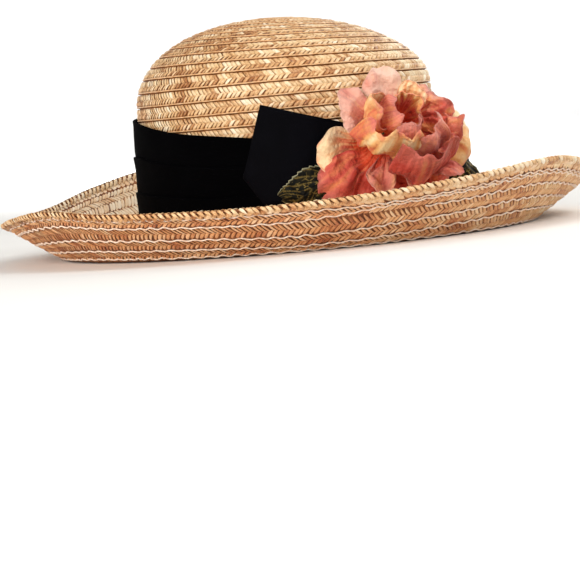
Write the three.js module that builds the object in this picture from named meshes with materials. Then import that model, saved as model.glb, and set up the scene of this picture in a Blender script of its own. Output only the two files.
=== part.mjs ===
// A straw hat: shingled braid crown, turned-up braid brim, pleated cloth band, ribbon loop and silk rose.
// Millimetres, +Z up, front of the hat towards -Y, the wearer's left towards +X.
// The origin is on the floor below the middle of the brim. A bearing is counted from the front towards +X.
import * as THREE from 'three';

const SIDES = 36; // facets round the hat
const GAP = 0.3; // clearance between pieces that touch

// Straw crown: half widths of its smooth outer face, before the braid rows stand proud of it
const crown = {
  middleY: 6, // the crown sits this far behind the middle of the brim
  base: { halfX: 84, halfY: 100, z: 13.3 },
  shoulder: { halfX: 81.8, halfY: 97.6, z: 87 },
  domeHeight: 47,
  wall: 1.7,
  rowPitch: 8.1, // height of one braid row along the section
  rowStep: 1.2, // how far the lower edge of a row stands proud
  lean: 0.045, // slope of the dome's top, down towards the lean bearing
  leanBearing: 50,
  button: 0.3, // how far the middle of the top stands over the last row
  innerEvery: 3, // the inner face has one ring for so many rows
};

// Straw brim: the rim's half widths, and the share of the way from crown to rim where things happen
const brim = {
  rimHalfX: 178,
  rimHalfY: 184,
  headlineZ: 13, // top of the brim where the crown stands on it
  wall: 2,
  flatFrom: 0.51, // the row that lies on the floor starts here
  flatTo: 0.59, // and ends here, where the brim turns up
  upturn: 1.1, // above 1 the upturned part steepens towards the rim
  rowStep: 0.7,
  innerRows: 6,
  outerRows: 5,
  upperShares: [1, 0.92, 0.84, 0.76, 0.67, 0.59, 0.51, 0.38, 0.26, 0.13, 0.035, 0], // rings of the upper face
};

// Height of the rim over the floor, by bearing
const rimHeights = [
  { bearing: -158, height: 30 },
  { bearing: -130, height: 25.6 },
  { bearing: -112, height: 30.5 },
  { bearing: -95, height: 35 },
  { bearing: -78, height: 31.5 },
  { bearing: -50, height: 29.3 },
  { bearing: -28, height: 31.2 },
  { bearing: -8, height: 35.6 },
  { bearing: 13, height: 40.2 },
  { bearing: 30, height: 34 },
  { bearing: 50, height: 25 },
  { bearing: 75, height: 25 },
  { bearing: 105, height: 25.5 },
  { bearing: 140, height: 33 },
  { bearing: 172, height: 47.5 },
  { bearing: 187, height: 40 },
];

// Cloth band: height of its upper edge over the floor, by bearing
const bandTops = [
  { bearing: -180, height: 83 },
  { bearing: -121, height: 79.4 },
  { bearing: -104, height: 75 },
  { bearing: -87, height: 70.3 },
  { bearing: -68, height: 66.5 },
  { bearing: -52, height: 63.5 },
  { bearing: 0, height: 61 },
  { bearing: 52, height: 63.5 },
  { bearing: 87, height: 70.3 },
  { bearing: 121, height: 79.4 },
];
const band = {
  bottomZ: 13.8,
  wall: 1.9, // one thickness of cloth at a fold's thin upper end
  proud: 1.9, // how far the top edge of a lower fold stands over the fold above it
  folds: 3,
};

// Ribbon loop beside the flower
const bow = {
  startBearing: -19, // hidden under the petals
  endBearing: -60, // the fold at the free end of the loop, at the middle of its height
  endCurve: 8, // degrees by which the upper and lower corners of the fold come back
  backOffset: 6.4, // from the crown's smooth face to the middle of the layer on the band
  frontOffset: 12.8, // and to the middle of the outer layer
  rootMiddleZ: 47,
  rootHalfHeight: 18,
  endMiddleZ: 53.6,
  endHalfHeight: 29,
  cloth: 1.2,
  lengthSteps: 16,
  widthSteps: 4,
  flatness: 1.25, // above 1 the two layers stay apart up to the fold
};

// Silk rose: its base point stands off the band, and petals leave that point like leaves of a rosette
const rose = {
  baseBearing: -9,
  baseReach: 111.5, // from the crown's axis
  baseZ: 59,
  axisBearing: -18,
  axisElevation: 24,
  petalStart: 9.7, // distance from the base point where the petals begin
  coreRadius: 9.3,
  cloth: 1.0,
  crumple: 1.5, // height of the soft ripples in the petals
  crumpleLength: 24,
  crumpleFrom: 14, // the ripples start at this distance from the base point
  crumpleOver: 20, // and grow over this much more
  petalTaper: 0.5, // spread of a petal at its base, as a share of its full spread
  petalLengthSteps: 5,
  petalWidthSteps: 6,
  coreFlat: 5.3, // from the base point back to the flat face towards the band
  coreFlatShare: 0.75, // radius of that face, as a share of the core's
};

// One row a petal. clock: degrees round the axis, 0 at the top, 90 towards +X.
// spread: half width in degrees. tilt: degrees between petal and axis.
// curl: how much more it tilts at its tip. length: from the base point to the tip.
// twist: how much further out its clockwise edge lies, in degrees.
// round: how much shorter its side edges are than its middle, as a share.
const petals = [
  { name: 'petal_heart_a', clock: -95, spread: 62, tilt: 15, curl: 6, length: 33, twist: 5, round: 0.15 },
  { name: 'petal_heart_b', clock: 35, spread: 62, tilt: 15, curl: 6, length: 34, twist: 5, round: 0.15 },
  { name: 'petal_heart_c', clock: 160, spread: 60, tilt: 15, curl: 8, length: 31, twist: 5, round: 0.15 },
  { name: 'petal_fold', clock: -64, spread: 42, tilt: 29, curl: 4, length: 39, twist: 4, round: 0.2 },
  { name: 'petal_crest', clock: 42, spread: 30, tilt: 33, curl: 8, length: 38, twist: 4, round: 0.2 },
  { name: 'petal_frill', clock: 84, spread: 30, tilt: 31, curl: 10, length: 41, twist: 4, round: 0.25 },
  { name: 'petal_ridge', clock: -142, spread: 42, tilt: 33, curl: 8, length: 48, twist: -3, round: 0.18 },
  { name: 'petal_collar', clock: 150, spread: 34, tilt: 32, curl: 9, length: 47, twist: -3, round: 0.2 },
  { name: 'petal_bud', clock: 120, spread: 24, tilt: 45, curl: 6, length: 44, twist: 2, round: 0.25 },
  { name: 'petal_lip', clock: 172, spread: 32, tilt: 50, curl: 6, length: 47, twist: -2, round: 0.2 },
  { name: 'petal_top', clock: -4, spread: 34, tilt: 56, curl: 6, length: 41, twist: 3, round: 0.25 },
  { name: 'petal_top_left', clock: -50, spread: 30, tilt: 60, curl: 8, length: 40, twist: 4, round: 0.3 },
  { name: 'petal_curl', clock: 104, spread: 30, tilt: 64, curl: 6, length: 49, twist: 2, round: 0.25 },
  { name: 'petal_point', clock: 142, spread: 17, tilt: 60, curl: 5, length: 51, twist: 1, round: 0.45 },
  { name: 'petal_tip', clock: 177, spread: 14, tilt: 64, curl: 4, length: 47, twist: 1, round: 0.45 },
  { name: 'petal_tuck', clock: -153, spread: 14, tilt: 66, curl: 4, length: 48, twist: 1, round: 0.4 },
  { name: 'petal_left', clock: -91, spread: 29, tilt: 80, curl: 8, length: 47, twist: -6, round: 0.2 },
  { name: 'petal_droop', clock: -130, spread: 27, tilt: 75, curl: 10, length: 53, twist: 3, round: 0.15 },
  { name: 'petal_back_right', clock: 62, spread: 34, tilt: 72, curl: 8, length: 41, twist: 2, round: 0.25 },
  { name: 'petal_back_low', clock: 158, spread: 34, tilt: 80, curl: 8, length: 46, twist: 2, round: 0.25 },
];

// Leaves: the midrib swings from clock at the stem to clock + swing at the tip.
const leaves = [
  { name: 'leaf_left', clock: -133, swing: 22, tilt: 96, curl: 6, length: 75, halfWidth: 16, bladeFrom: 30 },
  { name: 'leaf_right', clock: 118, swing: 6, tilt: 92, curl: 4, length: 66, halfWidth: 14, bladeFrom: 28 },
];
const leafForm = {
  stemHalf: 1.6,
  fold: 5, // degrees by which the midrib lies lower than the edges
  lengthSteps: 8,
  widthSteps: 4,
};

const colours = {
  straw: 0xdcb682,
  strawUnder: 0xcf9d6c,
  blackCloth: 0x0d0d12,
  calyx: 0x3a3f22,
  rosePink: 0xc9706a,
  salmon: 0xd8785c,
  peach: 0xeab274,
  leafGreen: 0x20261a,
};

const radians = (degrees) => (degrees * Math.PI) / 180;
const mix = (from, to, share) => from + (to - from) * share;
const clamp01 = (value) => Math.min(1, Math.max(0, value));
const smooth = (share) => share * share * (3 - 2 * share);

// Smooth closed curve through the heights of a bearing table
function heightAt(table, bearing) {
  const turn = (value) => ((value % 360) + 360) % 360;
  const rows = table.map((row) => ({ at: turn(row.bearing), height: row.height }));
  rows.sort((a, b) => a.at - b.at);
  const at = turn(bearing);
  const count = rows.length;
  let next = rows.findIndex((row) => row.at > at);
  if (next < 0) next = 0;
  const pick = (offset) => rows[(next + offset + count) % count];
  const before = pick(-1);
  const after = pick(0);
  const span = turn(after.at - before.at);
  const slopeBefore = (after.height - pick(-2).height) / (turn(before.at - pick(-2).at) + span);
  const slopeAfter = (pick(1).height - before.height) / (turn(pick(1).at - after.at) + span);
  const t = turn(at - before.at) / span;
  const start = before.height * (1 + 2 * t) * (1 - t) ** 2 + slopeBefore * span * t * (1 - t) ** 2;
  return start + after.height * t * t * (3 - 2 * t) + slopeAfter * span * t * t * (t - 1);
}

function bearingOf(x, y) {
  return (Math.atan2(x, -y) * 180) / Math.PI;
}

// Closed body from rings of points: neighbours are joined, and a ring of one point is a pole.
function bodyFromRings(rings, closesOnItself) {
  const positions = [];
  const starts = rings.map((ring) => {
    const start = positions.length / 3;
    ring.forEach((point) => positions.push(point.x, point.y, point.z));
    return start;
  });
  const index = [];
  const last = closesOnItself ? rings.length : rings.length - 1;
  for (let r = 0; r < last; r += 1) {
    const next = (r + 1) % rings.length;
    const [a, b] = [starts[r], starts[next]];
    const count = Math.max(rings[r].length, rings[next].length);
    for (let i = 0; i < count; i += 1) {
      const j = (i + 1) % count;
      if (rings[r].length === 1) index.push(a, b + j, b + i);
      else if (rings[next].length === 1) index.push(a + i, a + j, b);
      else index.push(a + i, a + j, b + i, a + j, b + j, b + i);
    }
  }
  const geometry = new THREE.BufferGeometry();
  geometry.setAttribute('position', new THREE.Float32BufferAttribute(positions, 3));
  geometry.setIndex(index);
  geometry.computeVertexNormals();
  return geometry;
}

// Closed thin shell between two grids of points of the same size
function shellFromGrids(front, backGrid) {
  const rows = front.length;
  const columns = front[0].length;
  const positions = [];
  [front, backGrid].forEach((grid) => grid.flat().forEach((p) => positions.push(p.x, p.y, p.z)));
  const at = (side, r, c) => side * rows * columns + r * columns + c;
  const index = [];
  const quad = (a, b, c, d) => index.push(a, b, c, a, c, d);
  for (let r = 0; r < rows - 1; r += 1) {
    for (let c = 0; c < columns - 1; c += 1) {
      quad(at(0, r, c), at(0, r, c + 1), at(0, r + 1, c + 1), at(0, r + 1, c));
      quad(at(1, r, c), at(1, r + 1, c), at(1, r + 1, c + 1), at(1, r, c + 1));
    }
    quad(at(0, r + 1, 0), at(1, r + 1, 0), at(1, r, 0), at(0, r, 0));
    quad(at(0, r, columns - 1), at(1, r, columns - 1), at(1, r + 1, columns - 1), at(0, r + 1, columns - 1));
  }
  for (let c = 0; c < columns - 1; c += 1) {
    quad(at(0, 0, c), at(1, 0, c), at(1, 0, c + 1), at(0, 0, c + 1));
    quad(at(0, rows - 1, c + 1), at(1, rows - 1, c + 1), at(1, rows - 1, c), at(0, rows - 1, c));
  }
  const geometry = new THREE.BufferGeometry();
  geometry.setAttribute('position', new THREE.Float32BufferAttribute(positions, 3));
  geometry.setIndex(index);
  geometry.computeVertexNormals();
  return geometry;
}

// Grid of points: along runs from 0 to 1, sideways from -1 to 1
function gridOf(lengthSteps, widthSteps, pointAt) {
  const rows = [];
  for (let r = 0; r <= lengthSteps; r += 1) {
    const row = [];
    for (let c = 0; c <= widthSteps; c += 1) row.push(pointAt(r / lengthSteps, (2 * c) / widthSteps - 1));
    rows.push(row);
  }
  return rows;
}

function meshOf(name, geometry, colour, roughness) {
  const finish = { color: colour, roughness, metalness: 0, side: THREE.DoubleSide };
  const mesh = new THREE.Mesh(geometry, new THREE.MeshStandardMaterial(finish));
  mesh.name = name;
  return mesh;
}

// Smooth outer face of the crown at a distance along its section, pushed out along the section's normal
const sideLength = crown.shoulder.z - crown.base.z;
const domeHalf = (crown.shoulder.halfX + crown.shoulder.halfY) / 2;

const domeSteps = 200;
const domeStep = Math.PI / 2 / domeSteps;

function domeRun(angle) {
  return Math.hypot(domeHalf * Math.sin(angle), crown.domeHeight * Math.cos(angle)) * domeStep;
}

function domeAngleAt(distance) {
  let angle = 0;
  let walked = 0;
  while (walked < distance && angle < Math.PI / 2) {
    angle += domeStep;
    walked += domeRun(angle);
  }
  return Math.min(angle, Math.PI / 2);
}

function domeLength() {
  let walked = 0;
  for (let i = 0; i < domeSteps; i += 1) walked += domeRun((i + 0.5) * domeStep);
  return walked;
}

function crownSection(distance) {
  const { base, shoulder, domeHeight } = crown;
  if (distance <= sideLength) {
    const share = distance / sideLength;
    return {
      halfX: mix(base.halfX, shoulder.halfX, share),
      halfY: mix(base.halfY, shoulder.halfY, share),
      z: base.z + distance,
      outward: 1,
      upward: 0,
    };
  }
  const angle = domeAngleAt(distance - sideLength);
  const normal = Math.hypot(Math.cos(angle) / domeHalf, Math.sin(angle) / domeHeight);
  return {
    halfX: shoulder.halfX * Math.cos(angle),
    halfY: shoulder.halfY * Math.cos(angle),
    z: shoulder.z + domeHeight * Math.sin(angle),
    outward: Math.cos(angle) / domeHalf / normal,
    upward: Math.sin(angle) / domeHeight / normal,
  };
}

function leanOf(x, y) {
  const backwards = y - crown.middleY;
  const share = Math.hypot(x / crown.shoulder.halfX, backwards / crown.shoulder.halfY);
  const towards = radians(crown.leanBearing);
  const along = x * Math.sin(towards) - backwards * Math.cos(towards);
  return -crown.lean * along * Math.max(0, 1 - share ** 6);
}

function crownRing(section, offset) {
  const halfX = section.halfX + offset * section.outward;
  const halfY = section.halfY + offset * section.outward;
  const z = section.z + offset * section.upward;
  const points = [];
  for (let i = 0; i < SIDES; i += 1) {
    const angle = (2 * Math.PI * i) / SIDES;
    const x = halfX * Math.sin(angle);
    const y = crown.middleY - halfY * Math.cos(angle);
    const leaning = section.upward > 0 ? leanOf(x, y) : 0;
    points.push(new THREE.Vector3(x, y, z + leaning));
  }
  return points;
}

function makeCrown() {
  const rows = Math.floor((sideLength + domeLength()) / crown.rowPitch);
  const rings = [];
  const inner = [];
  for (let row = 0; row < rows; row += 1) {
    const low = row * crown.rowPitch;
    rings.push(crownRing(crownSection(low), crown.rowStep));
    rings.push(crownRing(crownSection(low + crown.rowPitch), 0));
    if (row % crown.innerEvery === 0) inner.push(crownRing(crownSection(low), -crown.wall));
  }
  const top = crown.shoulder.z + crown.domeHeight;
  rings.push([new THREE.Vector3(0, crown.middleY, top + crown.button)]);
  rings.push([new THREE.Vector3(0, crown.middleY, top - crown.wall)]);
  const outside = bodyFromRings([...inner.slice(0, 1), ...rings.slice(0, -1)], false);
  const inside = bodyFromRings([rings[rings.length - 1], ...inner.slice().reverse()], false);
  return meshOf('crown', joinOpenSurfaces(outside, inside), colours.straw, 0.75);
}

// Two open surfaces that share their border points become one closed body.
function joinOpenSurfaces(first, second) {
  const a = first.getAttribute('position').array;
  const b = second.getAttribute('position').array;
  const shift = a.length / 3;
  const geometry = new THREE.BufferGeometry();
  geometry.setAttribute('position', new THREE.Float32BufferAttribute([...a, ...b], 3));
  geometry.setIndex([...first.getIndex().array, ...Array.from(second.getIndex().array, (i) => i + shift)]);
  geometry.computeVertexNormals();
  return geometry;
}

// Underside of the brim at a share of the way from the crown (0) to the rim (1)
function brimPoint(share, angle, lift) {
  const innerX = crown.base.halfX - crown.wall;
  const innerY = crown.base.halfY - crown.wall;
  const x = mix(innerX, brim.rimHalfX, share) * Math.sin(angle);
  const y = crown.middleY * (1 - share) - mix(innerY, brim.rimHalfY, share) * Math.cos(angle);
  const bearing = bearingOf(brim.rimHalfX * Math.sin(angle), -brim.rimHalfY * Math.cos(angle));
  let z = 0;
  if (share < brim.flatFrom) z = (brim.headlineZ - brim.wall) * smooth(1 - share / brim.flatFrom);
  if (share > brim.flatTo) {
    const outer = (share - brim.flatTo) / (1 - brim.flatTo);
    z = (heightAt(rimHeights, bearing) - brim.wall) * outer ** brim.upturn;
  }
  return new THREE.Vector3(x, y, z + lift);
}

function brimRing(share, lift) {
  const points = [];
  for (let i = 0; i < SIDES; i += 1) points.push(brimPoint(share, (2 * Math.PI * i) / SIDES, lift));
  return points;
}

function makeBrim() {
  const under = [];
  for (let row = 0; row < brim.innerRows; row += 1) {
    const from = mix(0, brim.flatFrom, row / brim.innerRows);
    const to = mix(0, brim.flatFrom, (row + 1) / brim.innerRows);
    under.push(brimRing(from, row === 0 ? 0 : brim.rowStep), brimRing(to, 0));
  }
  under.push(brimRing(brim.flatTo, 0));
  for (let row = 0; row < brim.outerRows; row += 1) {
    const from = mix(brim.flatTo, 1, row / brim.outerRows);
    const to = mix(brim.flatTo, 1, (row + 1) / brim.outerRows);
    under.push(brimRing(from, brim.rowStep), brimRing(to, 0));
  }
  const upper = brim.upperShares.map((share) => brimRing(share, brim.wall));
  return meshOf('brim', bodyFromRings([...under, ...upper], true), colours.strawUnder, 0.8);
}

// The crown's side at a height, pushed out by an offset
function aroundCrown(bearingAngle, z, offset) {
  const share = clamp01((z - crown.base.z) / sideLength);
  const halfX = mix(crown.base.halfX, crown.shoulder.halfX, share) + offset;
  const halfY = mix(crown.base.halfY, crown.shoulder.halfY, share) + offset;
  return new THREE.Vector3(halfX * Math.sin(bearingAngle), crown.middleY - halfY * Math.cos(bearingAngle), z);
}

function makeBand() {
  const skin = crown.rowStep + GAP;
  const ring = (share, offset) => {
    const points = [];
    for (let i = 0; i < SIDES; i += 1) {
      const angle = (2 * Math.PI * i) / SIDES;
      const top = heightAt(bandTops, bearingOf(Math.sin(angle), -Math.cos(angle)));
      points.push(aroundCrown(angle, mix(band.bottomZ, top, share), offset));
    }
    return points;
  };
  const rings = [ring(1, skin), ring(0.5, skin), ring(0, skin)];
  for (let fold = 0; fold < band.folds; fold += 1) {
    rings.push(ring(fold / band.folds, skin + band.wall));
    rings.push(ring((fold + 1) / band.folds, skin + band.wall + (fold < band.folds - 1 ? band.proud : 0)));
  }
  return meshOf('band', bodyFromRings(rings, true), colours.blackCloth, 0.9);
}

// The loop's cloth: along runs from the root behind, round the free fold, and back to the root in front.
function bowPoint(along, across, offset) {
  const out = 1 - Math.abs(2 * along - 1); // 0 at both roots, 1 at the free fold
  const reach = Math.sin((out * Math.PI) / 2);
  const corner = bow.endCurve * across * across;
  const bearing = mix(bow.startBearing, bow.endBearing + corner, reach);
  const halfHeight = mix(bow.rootHalfHeight, bow.endHalfHeight, smooth(out));
  const z = mix(bow.rootMiddleZ, bow.endMiddleZ, out) + across * halfHeight;
  const middle = (bow.backOffset + bow.frontOffset) / 2;
  const half = (bow.frontOffset - bow.backOffset) / 2;
  const turn = Math.PI * (along - 0.5);
  const side = Math.sign(along - 0.5) * Math.min(1, Math.abs(Math.sin(turn)) * bow.flatness);
  const shift = middle + half * side;
  const away = new THREE.Vector3(Math.sin(radians(bearing)), -Math.cos(radians(bearing)), 0);
  const round = new THREE.Vector3(Math.cos(radians(bearing)), Math.sin(radians(bearing)), 0);
  const facing = away.multiplyScalar(side).addScaledVector(round, -Math.sqrt(Math.max(0, 1 - side * side)));
  return aroundCrown(radians(bearing), z, shift).addScaledVector(facing, offset);
}

function makeBow() {
  const grid = (offset) =>
    gridOf(bow.lengthSteps, bow.widthSteps, (along, sideways) => bowPoint(along, sideways, offset));
  const loop = shellFromGrids(grid(-bow.cloth / 2), grid(bow.cloth / 2));
  return meshOf('bow_loop', loop, colours.blackCloth, 0.7);
}

// Flower frame: axis points out of the rose, top is its upper side, across points towards +X
const roseBase = new THREE.Vector3(
  rose.baseReach * Math.sin(radians(rose.baseBearing)),
  crown.middleY - rose.baseReach * Math.cos(radians(rose.baseBearing)),
  rose.baseZ,
);
const level = new THREE.Vector3(Math.sin(radians(rose.axisBearing)), -Math.cos(radians(rose.axisBearing)), 0);
const upwards = new THREE.Vector3(0, 0, 1);
const axis = level.clone().multiplyScalar(Math.cos(radians(rose.axisElevation)));
axis.addScaledVector(upwards, Math.sin(radians(rose.axisElevation)));
const top = level.clone().multiplyScalar(-Math.sin(radians(rose.axisElevation)));
top.addScaledVector(upwards, Math.cos(radians(rose.axisElevation)));
const across = new THREE.Vector3(Math.cos(radians(rose.axisBearing)), Math.sin(radians(rose.axisBearing)), 0);

// A point of the flower: clock round the axis, tilt from it, and distance from the base point, softly rippled
function flowerPoint(clock, tilt, distance) {
  const side = top.clone().multiplyScalar(Math.cos(radians(clock)));
  side.addScaledVector(across, Math.sin(radians(clock)));
  const ray = side.multiplyScalar(Math.sin(radians(tilt))).addScaledVector(axis, Math.cos(radians(tilt)));
  const point = roseBase.clone().addScaledVector(ray, distance);
  const wave = (2 * Math.PI) / rose.crumpleLength;
  const fade = rose.crumple * smooth(clamp01((distance - rose.crumpleFrom) / rose.crumpleOver));
  const ripple = new THREE.Vector3(
    Math.sin(wave * point.z + 1.3) + 0.6 * Math.sin(wave * 1.3 * point.y),
    Math.sin(wave * point.x + 0.4) + 0.6 * Math.sin(wave * 1.2 * point.z),
    Math.sin(wave * point.y + 2.1) + 0.6 * Math.sin(wave * 1.4 * point.x),
  );
  return point.addScaledVector(ripple, fade);
}

// Half the tilt angle that one cloth thickness covers at a distance from the base point
function halfCloth(distance) {
  return (rose.cloth * 90) / Math.PI / distance;
}

function makePetal(petal, colour) {
  const grid = (side) =>
    gridOf(rose.petalLengthSteps, rose.petalWidthSteps, (along, sideways) => {
      const tip = petal.length * (1 - petal.round * Math.abs(sideways) ** 2.5);
      const distance = mix(rose.petalStart, tip, along);
      const clock = petal.clock + petal.spread * sideways * mix(rose.petalTaper, 1, smooth(along));
      const tilt = petal.tilt + petal.curl * along * along + petal.twist * sideways;
      return flowerPoint(clock, tilt + side * halfCloth(distance), distance);
    });
  return meshOf(petal.name, shellFromGrids(grid(-1), grid(1)), colour, 0.8);
}

function makeLeaf(leaf) {
  const grid = (side) =>
    gridOf(leafForm.lengthSteps, leafForm.widthSteps, (along, sideways) => {
      const distance = mix(rose.petalStart, leaf.length, along);
      const blade = clamp01((distance - leaf.bladeFrom) / (leaf.length - leaf.bladeFrom));
      const wide = (leaf.halfWidth - leafForm.stemHalf) * Math.sin(Math.PI * blade ** 0.8) ** 0.8;
      const spread = (((leafForm.stemHalf + wide) / distance) * 180) / Math.PI;
      const clock = leaf.clock + leaf.swing * along + spread * sideways;
      const tilt = leaf.tilt + leaf.curl * along - leafForm.fold * (1 - Math.abs(sideways)) * blade;
      return flowerPoint(clock, tilt + side * halfCloth(distance), distance);
    });
  return meshOf(leaf.name, shellFromGrids(grid(-1), grid(1)), colours.leafGreen, 0.6);
}

// The calyx is turned round a level axis through the base point, flat towards the band.
function makeCore() {
  const steps = 6;
  const profile = [
    new THREE.Vector2(0, -rose.coreFlat),
    new THREE.Vector2(rose.coreRadius * rose.coreFlatShare, -rose.coreFlat),
  ];
  for (let i = 0; i <= steps; i += 1) {
    const angle = mix(-0.35, Math.PI / 2, i / steps);
    const radius = i === steps ? 0 : rose.coreRadius * Math.cos(angle);
    profile.push(new THREE.Vector2(radius, rose.coreRadius * Math.sin(angle)));
  }
  const geometry = new THREE.LatheGeometry(profile, 14);
  const mesh = meshOf('rose_core', geometry, colours.calyx, 0.8);
  const facing = radians(rose.baseBearing);
  const outward = new THREE.Vector3(Math.sin(facing), -Math.cos(facing), 0);
  mesh.quaternion.setFromUnitVectors(new THREE.Vector3(0, 1, 0), outward);
  mesh.position.copy(roseBase);
  return mesh;
}

const petalColours = [colours.salmon, colours.rosePink, colours.peach];
const hat = new THREE.Group();
hat.add(makeCrown(), makeBrim(), makeBand(), makeBow(), makeCore());
petals.forEach((petal, i) => hat.add(makePetal(petal, petalColours[i % petalColours.length])));
leaves.forEach((leaf) => hat.add(makeLeaf(leaf)));

export default hat;
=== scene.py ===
# %% [markdown]
# A straw hat in Blender
# The hat is sewn from plaited straw: a braid about 8 mm wide runs round and round, and each turn laps the
# last one like a roof shingle. A black cloth band, a ribbon loop and a silk rose with two leaves dress it.
# The solids of the hat come in as a fixed frame, and this notebook gives each of them its surface.
# Everything below is built round those solids, in the same place and at the same size.

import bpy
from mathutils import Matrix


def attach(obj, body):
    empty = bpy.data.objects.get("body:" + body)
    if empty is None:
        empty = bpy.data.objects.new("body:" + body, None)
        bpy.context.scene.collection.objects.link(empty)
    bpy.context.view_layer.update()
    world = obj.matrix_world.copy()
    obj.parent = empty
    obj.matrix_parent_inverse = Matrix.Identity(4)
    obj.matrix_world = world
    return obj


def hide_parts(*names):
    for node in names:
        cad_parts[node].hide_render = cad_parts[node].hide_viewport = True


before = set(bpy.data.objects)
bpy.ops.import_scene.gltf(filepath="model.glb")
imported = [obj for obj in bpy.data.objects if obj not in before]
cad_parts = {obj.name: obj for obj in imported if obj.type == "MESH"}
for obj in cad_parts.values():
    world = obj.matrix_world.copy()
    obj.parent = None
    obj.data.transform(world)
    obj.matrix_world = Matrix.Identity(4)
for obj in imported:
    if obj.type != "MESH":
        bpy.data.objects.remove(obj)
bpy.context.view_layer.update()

# %% [markdown]
# Units and small helpers
# A milliner measures in millimetres, so the tables here are in millimetres, and MM turns them into Blender's
# metres. A bearing is an angle round the hat, from the front (-Y) towards the wearer's left (+X).

# %% Imports and small helpers
import math
import bpy
import numpy as np
from mathutils import Matrix, Vector, noise

MM = 0.001
BODY = "root"


def mix(low, high, share):
    return low + (high - low) * share


def smooth(share):
    share = np.clip(share, 0, 1)
    return share * share * (3 - 2 * share)


def ripple(x, y, z, scale, seed=0):
    """Smooth noise from -1 to 1 at each point, where scale is the size of a ripple in millimetres."""
    points = np.broadcast_arrays(x, y, z)
    flat = zip(*(np.ravel(values) / scale for values in points))
    found = [noise.noise((a + 7.3 * seed, b - 3.1 * seed, c + 1.7 * seed)) for a, b, c in flat]
    return np.reshape(found, points[0].shape)


def walked_along(points):
    """How far one has walked at each point of a line."""
    return np.concatenate([[0], np.cumsum(np.linalg.norm(np.diff(points, axis=0), axis=1))])


def read_table(text):
    """The rows of a table as dictionaries. A cell that starts with a letter stays a word."""
    columns, *rows = [line.split() for line in text.split("\n") if line]
    cells = [[cell if cell[0].isalpha() else float(cell) for cell in row] for row in rows]
    return [dict(zip(columns, row)) for row in cells]


def deselect():
    if bpy.context.mode != "OBJECT":
        bpy.ops.object.mode_set(mode="OBJECT")
    bpy.ops.object.select_all(action="DESELECT")


def only(piece):
    deselect()
    piece.select_set(True)
    bpy.context.view_layer.objects.active = piece
    return piece


def named(name):
    """Name the object that an operator has just made."""
    piece = bpy.context.object
    piece.name = piece.data.name = name
    return piece


def points_of(piece):
    flat = np.empty(len(piece.data.vertices) * 3)
    piece.data.vertices.foreach_get("co", flat)
    return flat.reshape(-1, 3) / MM


def move_points(piece, points):
    piece.data.vertices.foreach_set("co", (np.asarray(points) * MM).ravel())
    piece.data.update()


def apply_modifier(piece, kind, **settings):
    only(piece)
    modifier = piece.modifiers.new(kind.title(), kind)
    for setting, value in settings.items():
        setattr(modifier, setting, value)
    bpy.ops.object.modifier_apply(modifier=modifier.name)


def finish_piece(piece, material, slot, *nodes):
    """Give a finished piece its material, its body, and the solid that it stands for."""
    piece.data.materials.clear()
    piece.data.materials.append(material)
    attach(piece, BODY)
    if nodes:
        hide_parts(*nodes)
    triangles = sum(len(face.vertices) - 2 for face in piece.data.polygons)
    print(f"{piece.name}: {triangles} triangles")


# %% [markdown]
# Shader maths as Python
# A node tree is easier to read as an expression. Link wraps a socket, so that a + b or 1 - mask adds the
# Math node. Finish holds one material, and its method node makes every other kind of node.

# %% Links and finishes
class Link:
    """A socket in a material, with Python's operators for its maths."""

    def __init__(self, finish, socket):
        self.finish = finish
        self.socket = socket

    def maths(self, operation, *values):
        return self.finish.node("ShaderNodeMath", {"operation": operation}, dict(enumerate(values)))

    def __add__(self, other):
        return self.maths("ADD", self, other)

    def __sub__(self, other):
        return self.maths("SUBTRACT", self, other)

    def __rsub__(self, other):
        return self.maths("SUBTRACT", other, self)

    def __mul__(self, other):
        return self.maths("MULTIPLY", self, other)

    __radd__ = __add__
    __rmul__ = __mul__

    def between(self, low, high):
        """0 below low, 1 above high, and a smooth step from one to the other."""
        settings = {"interpolation_type": "SMOOTHSTEP"}
        return self.finish.node("ShaderNodeMapRange", settings, {0: self, 1: low, 2: high, 3: 0.0, 4: 1.0})


def rgb(red, green, blue):
    """A colour as a picture program shows it, from 0 to 255, turned into light."""
    shown = (red / 255, green / 255, blue / 255)
    return tuple(c / 12.92 if c <= 0.04045 else ((c + 0.055) / 1.055) ** 2.4 for c in shown) + (1.0,)


def socket_name(word):
    return word.replace("_", " ").title().replace("Ior", "IOR")


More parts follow.
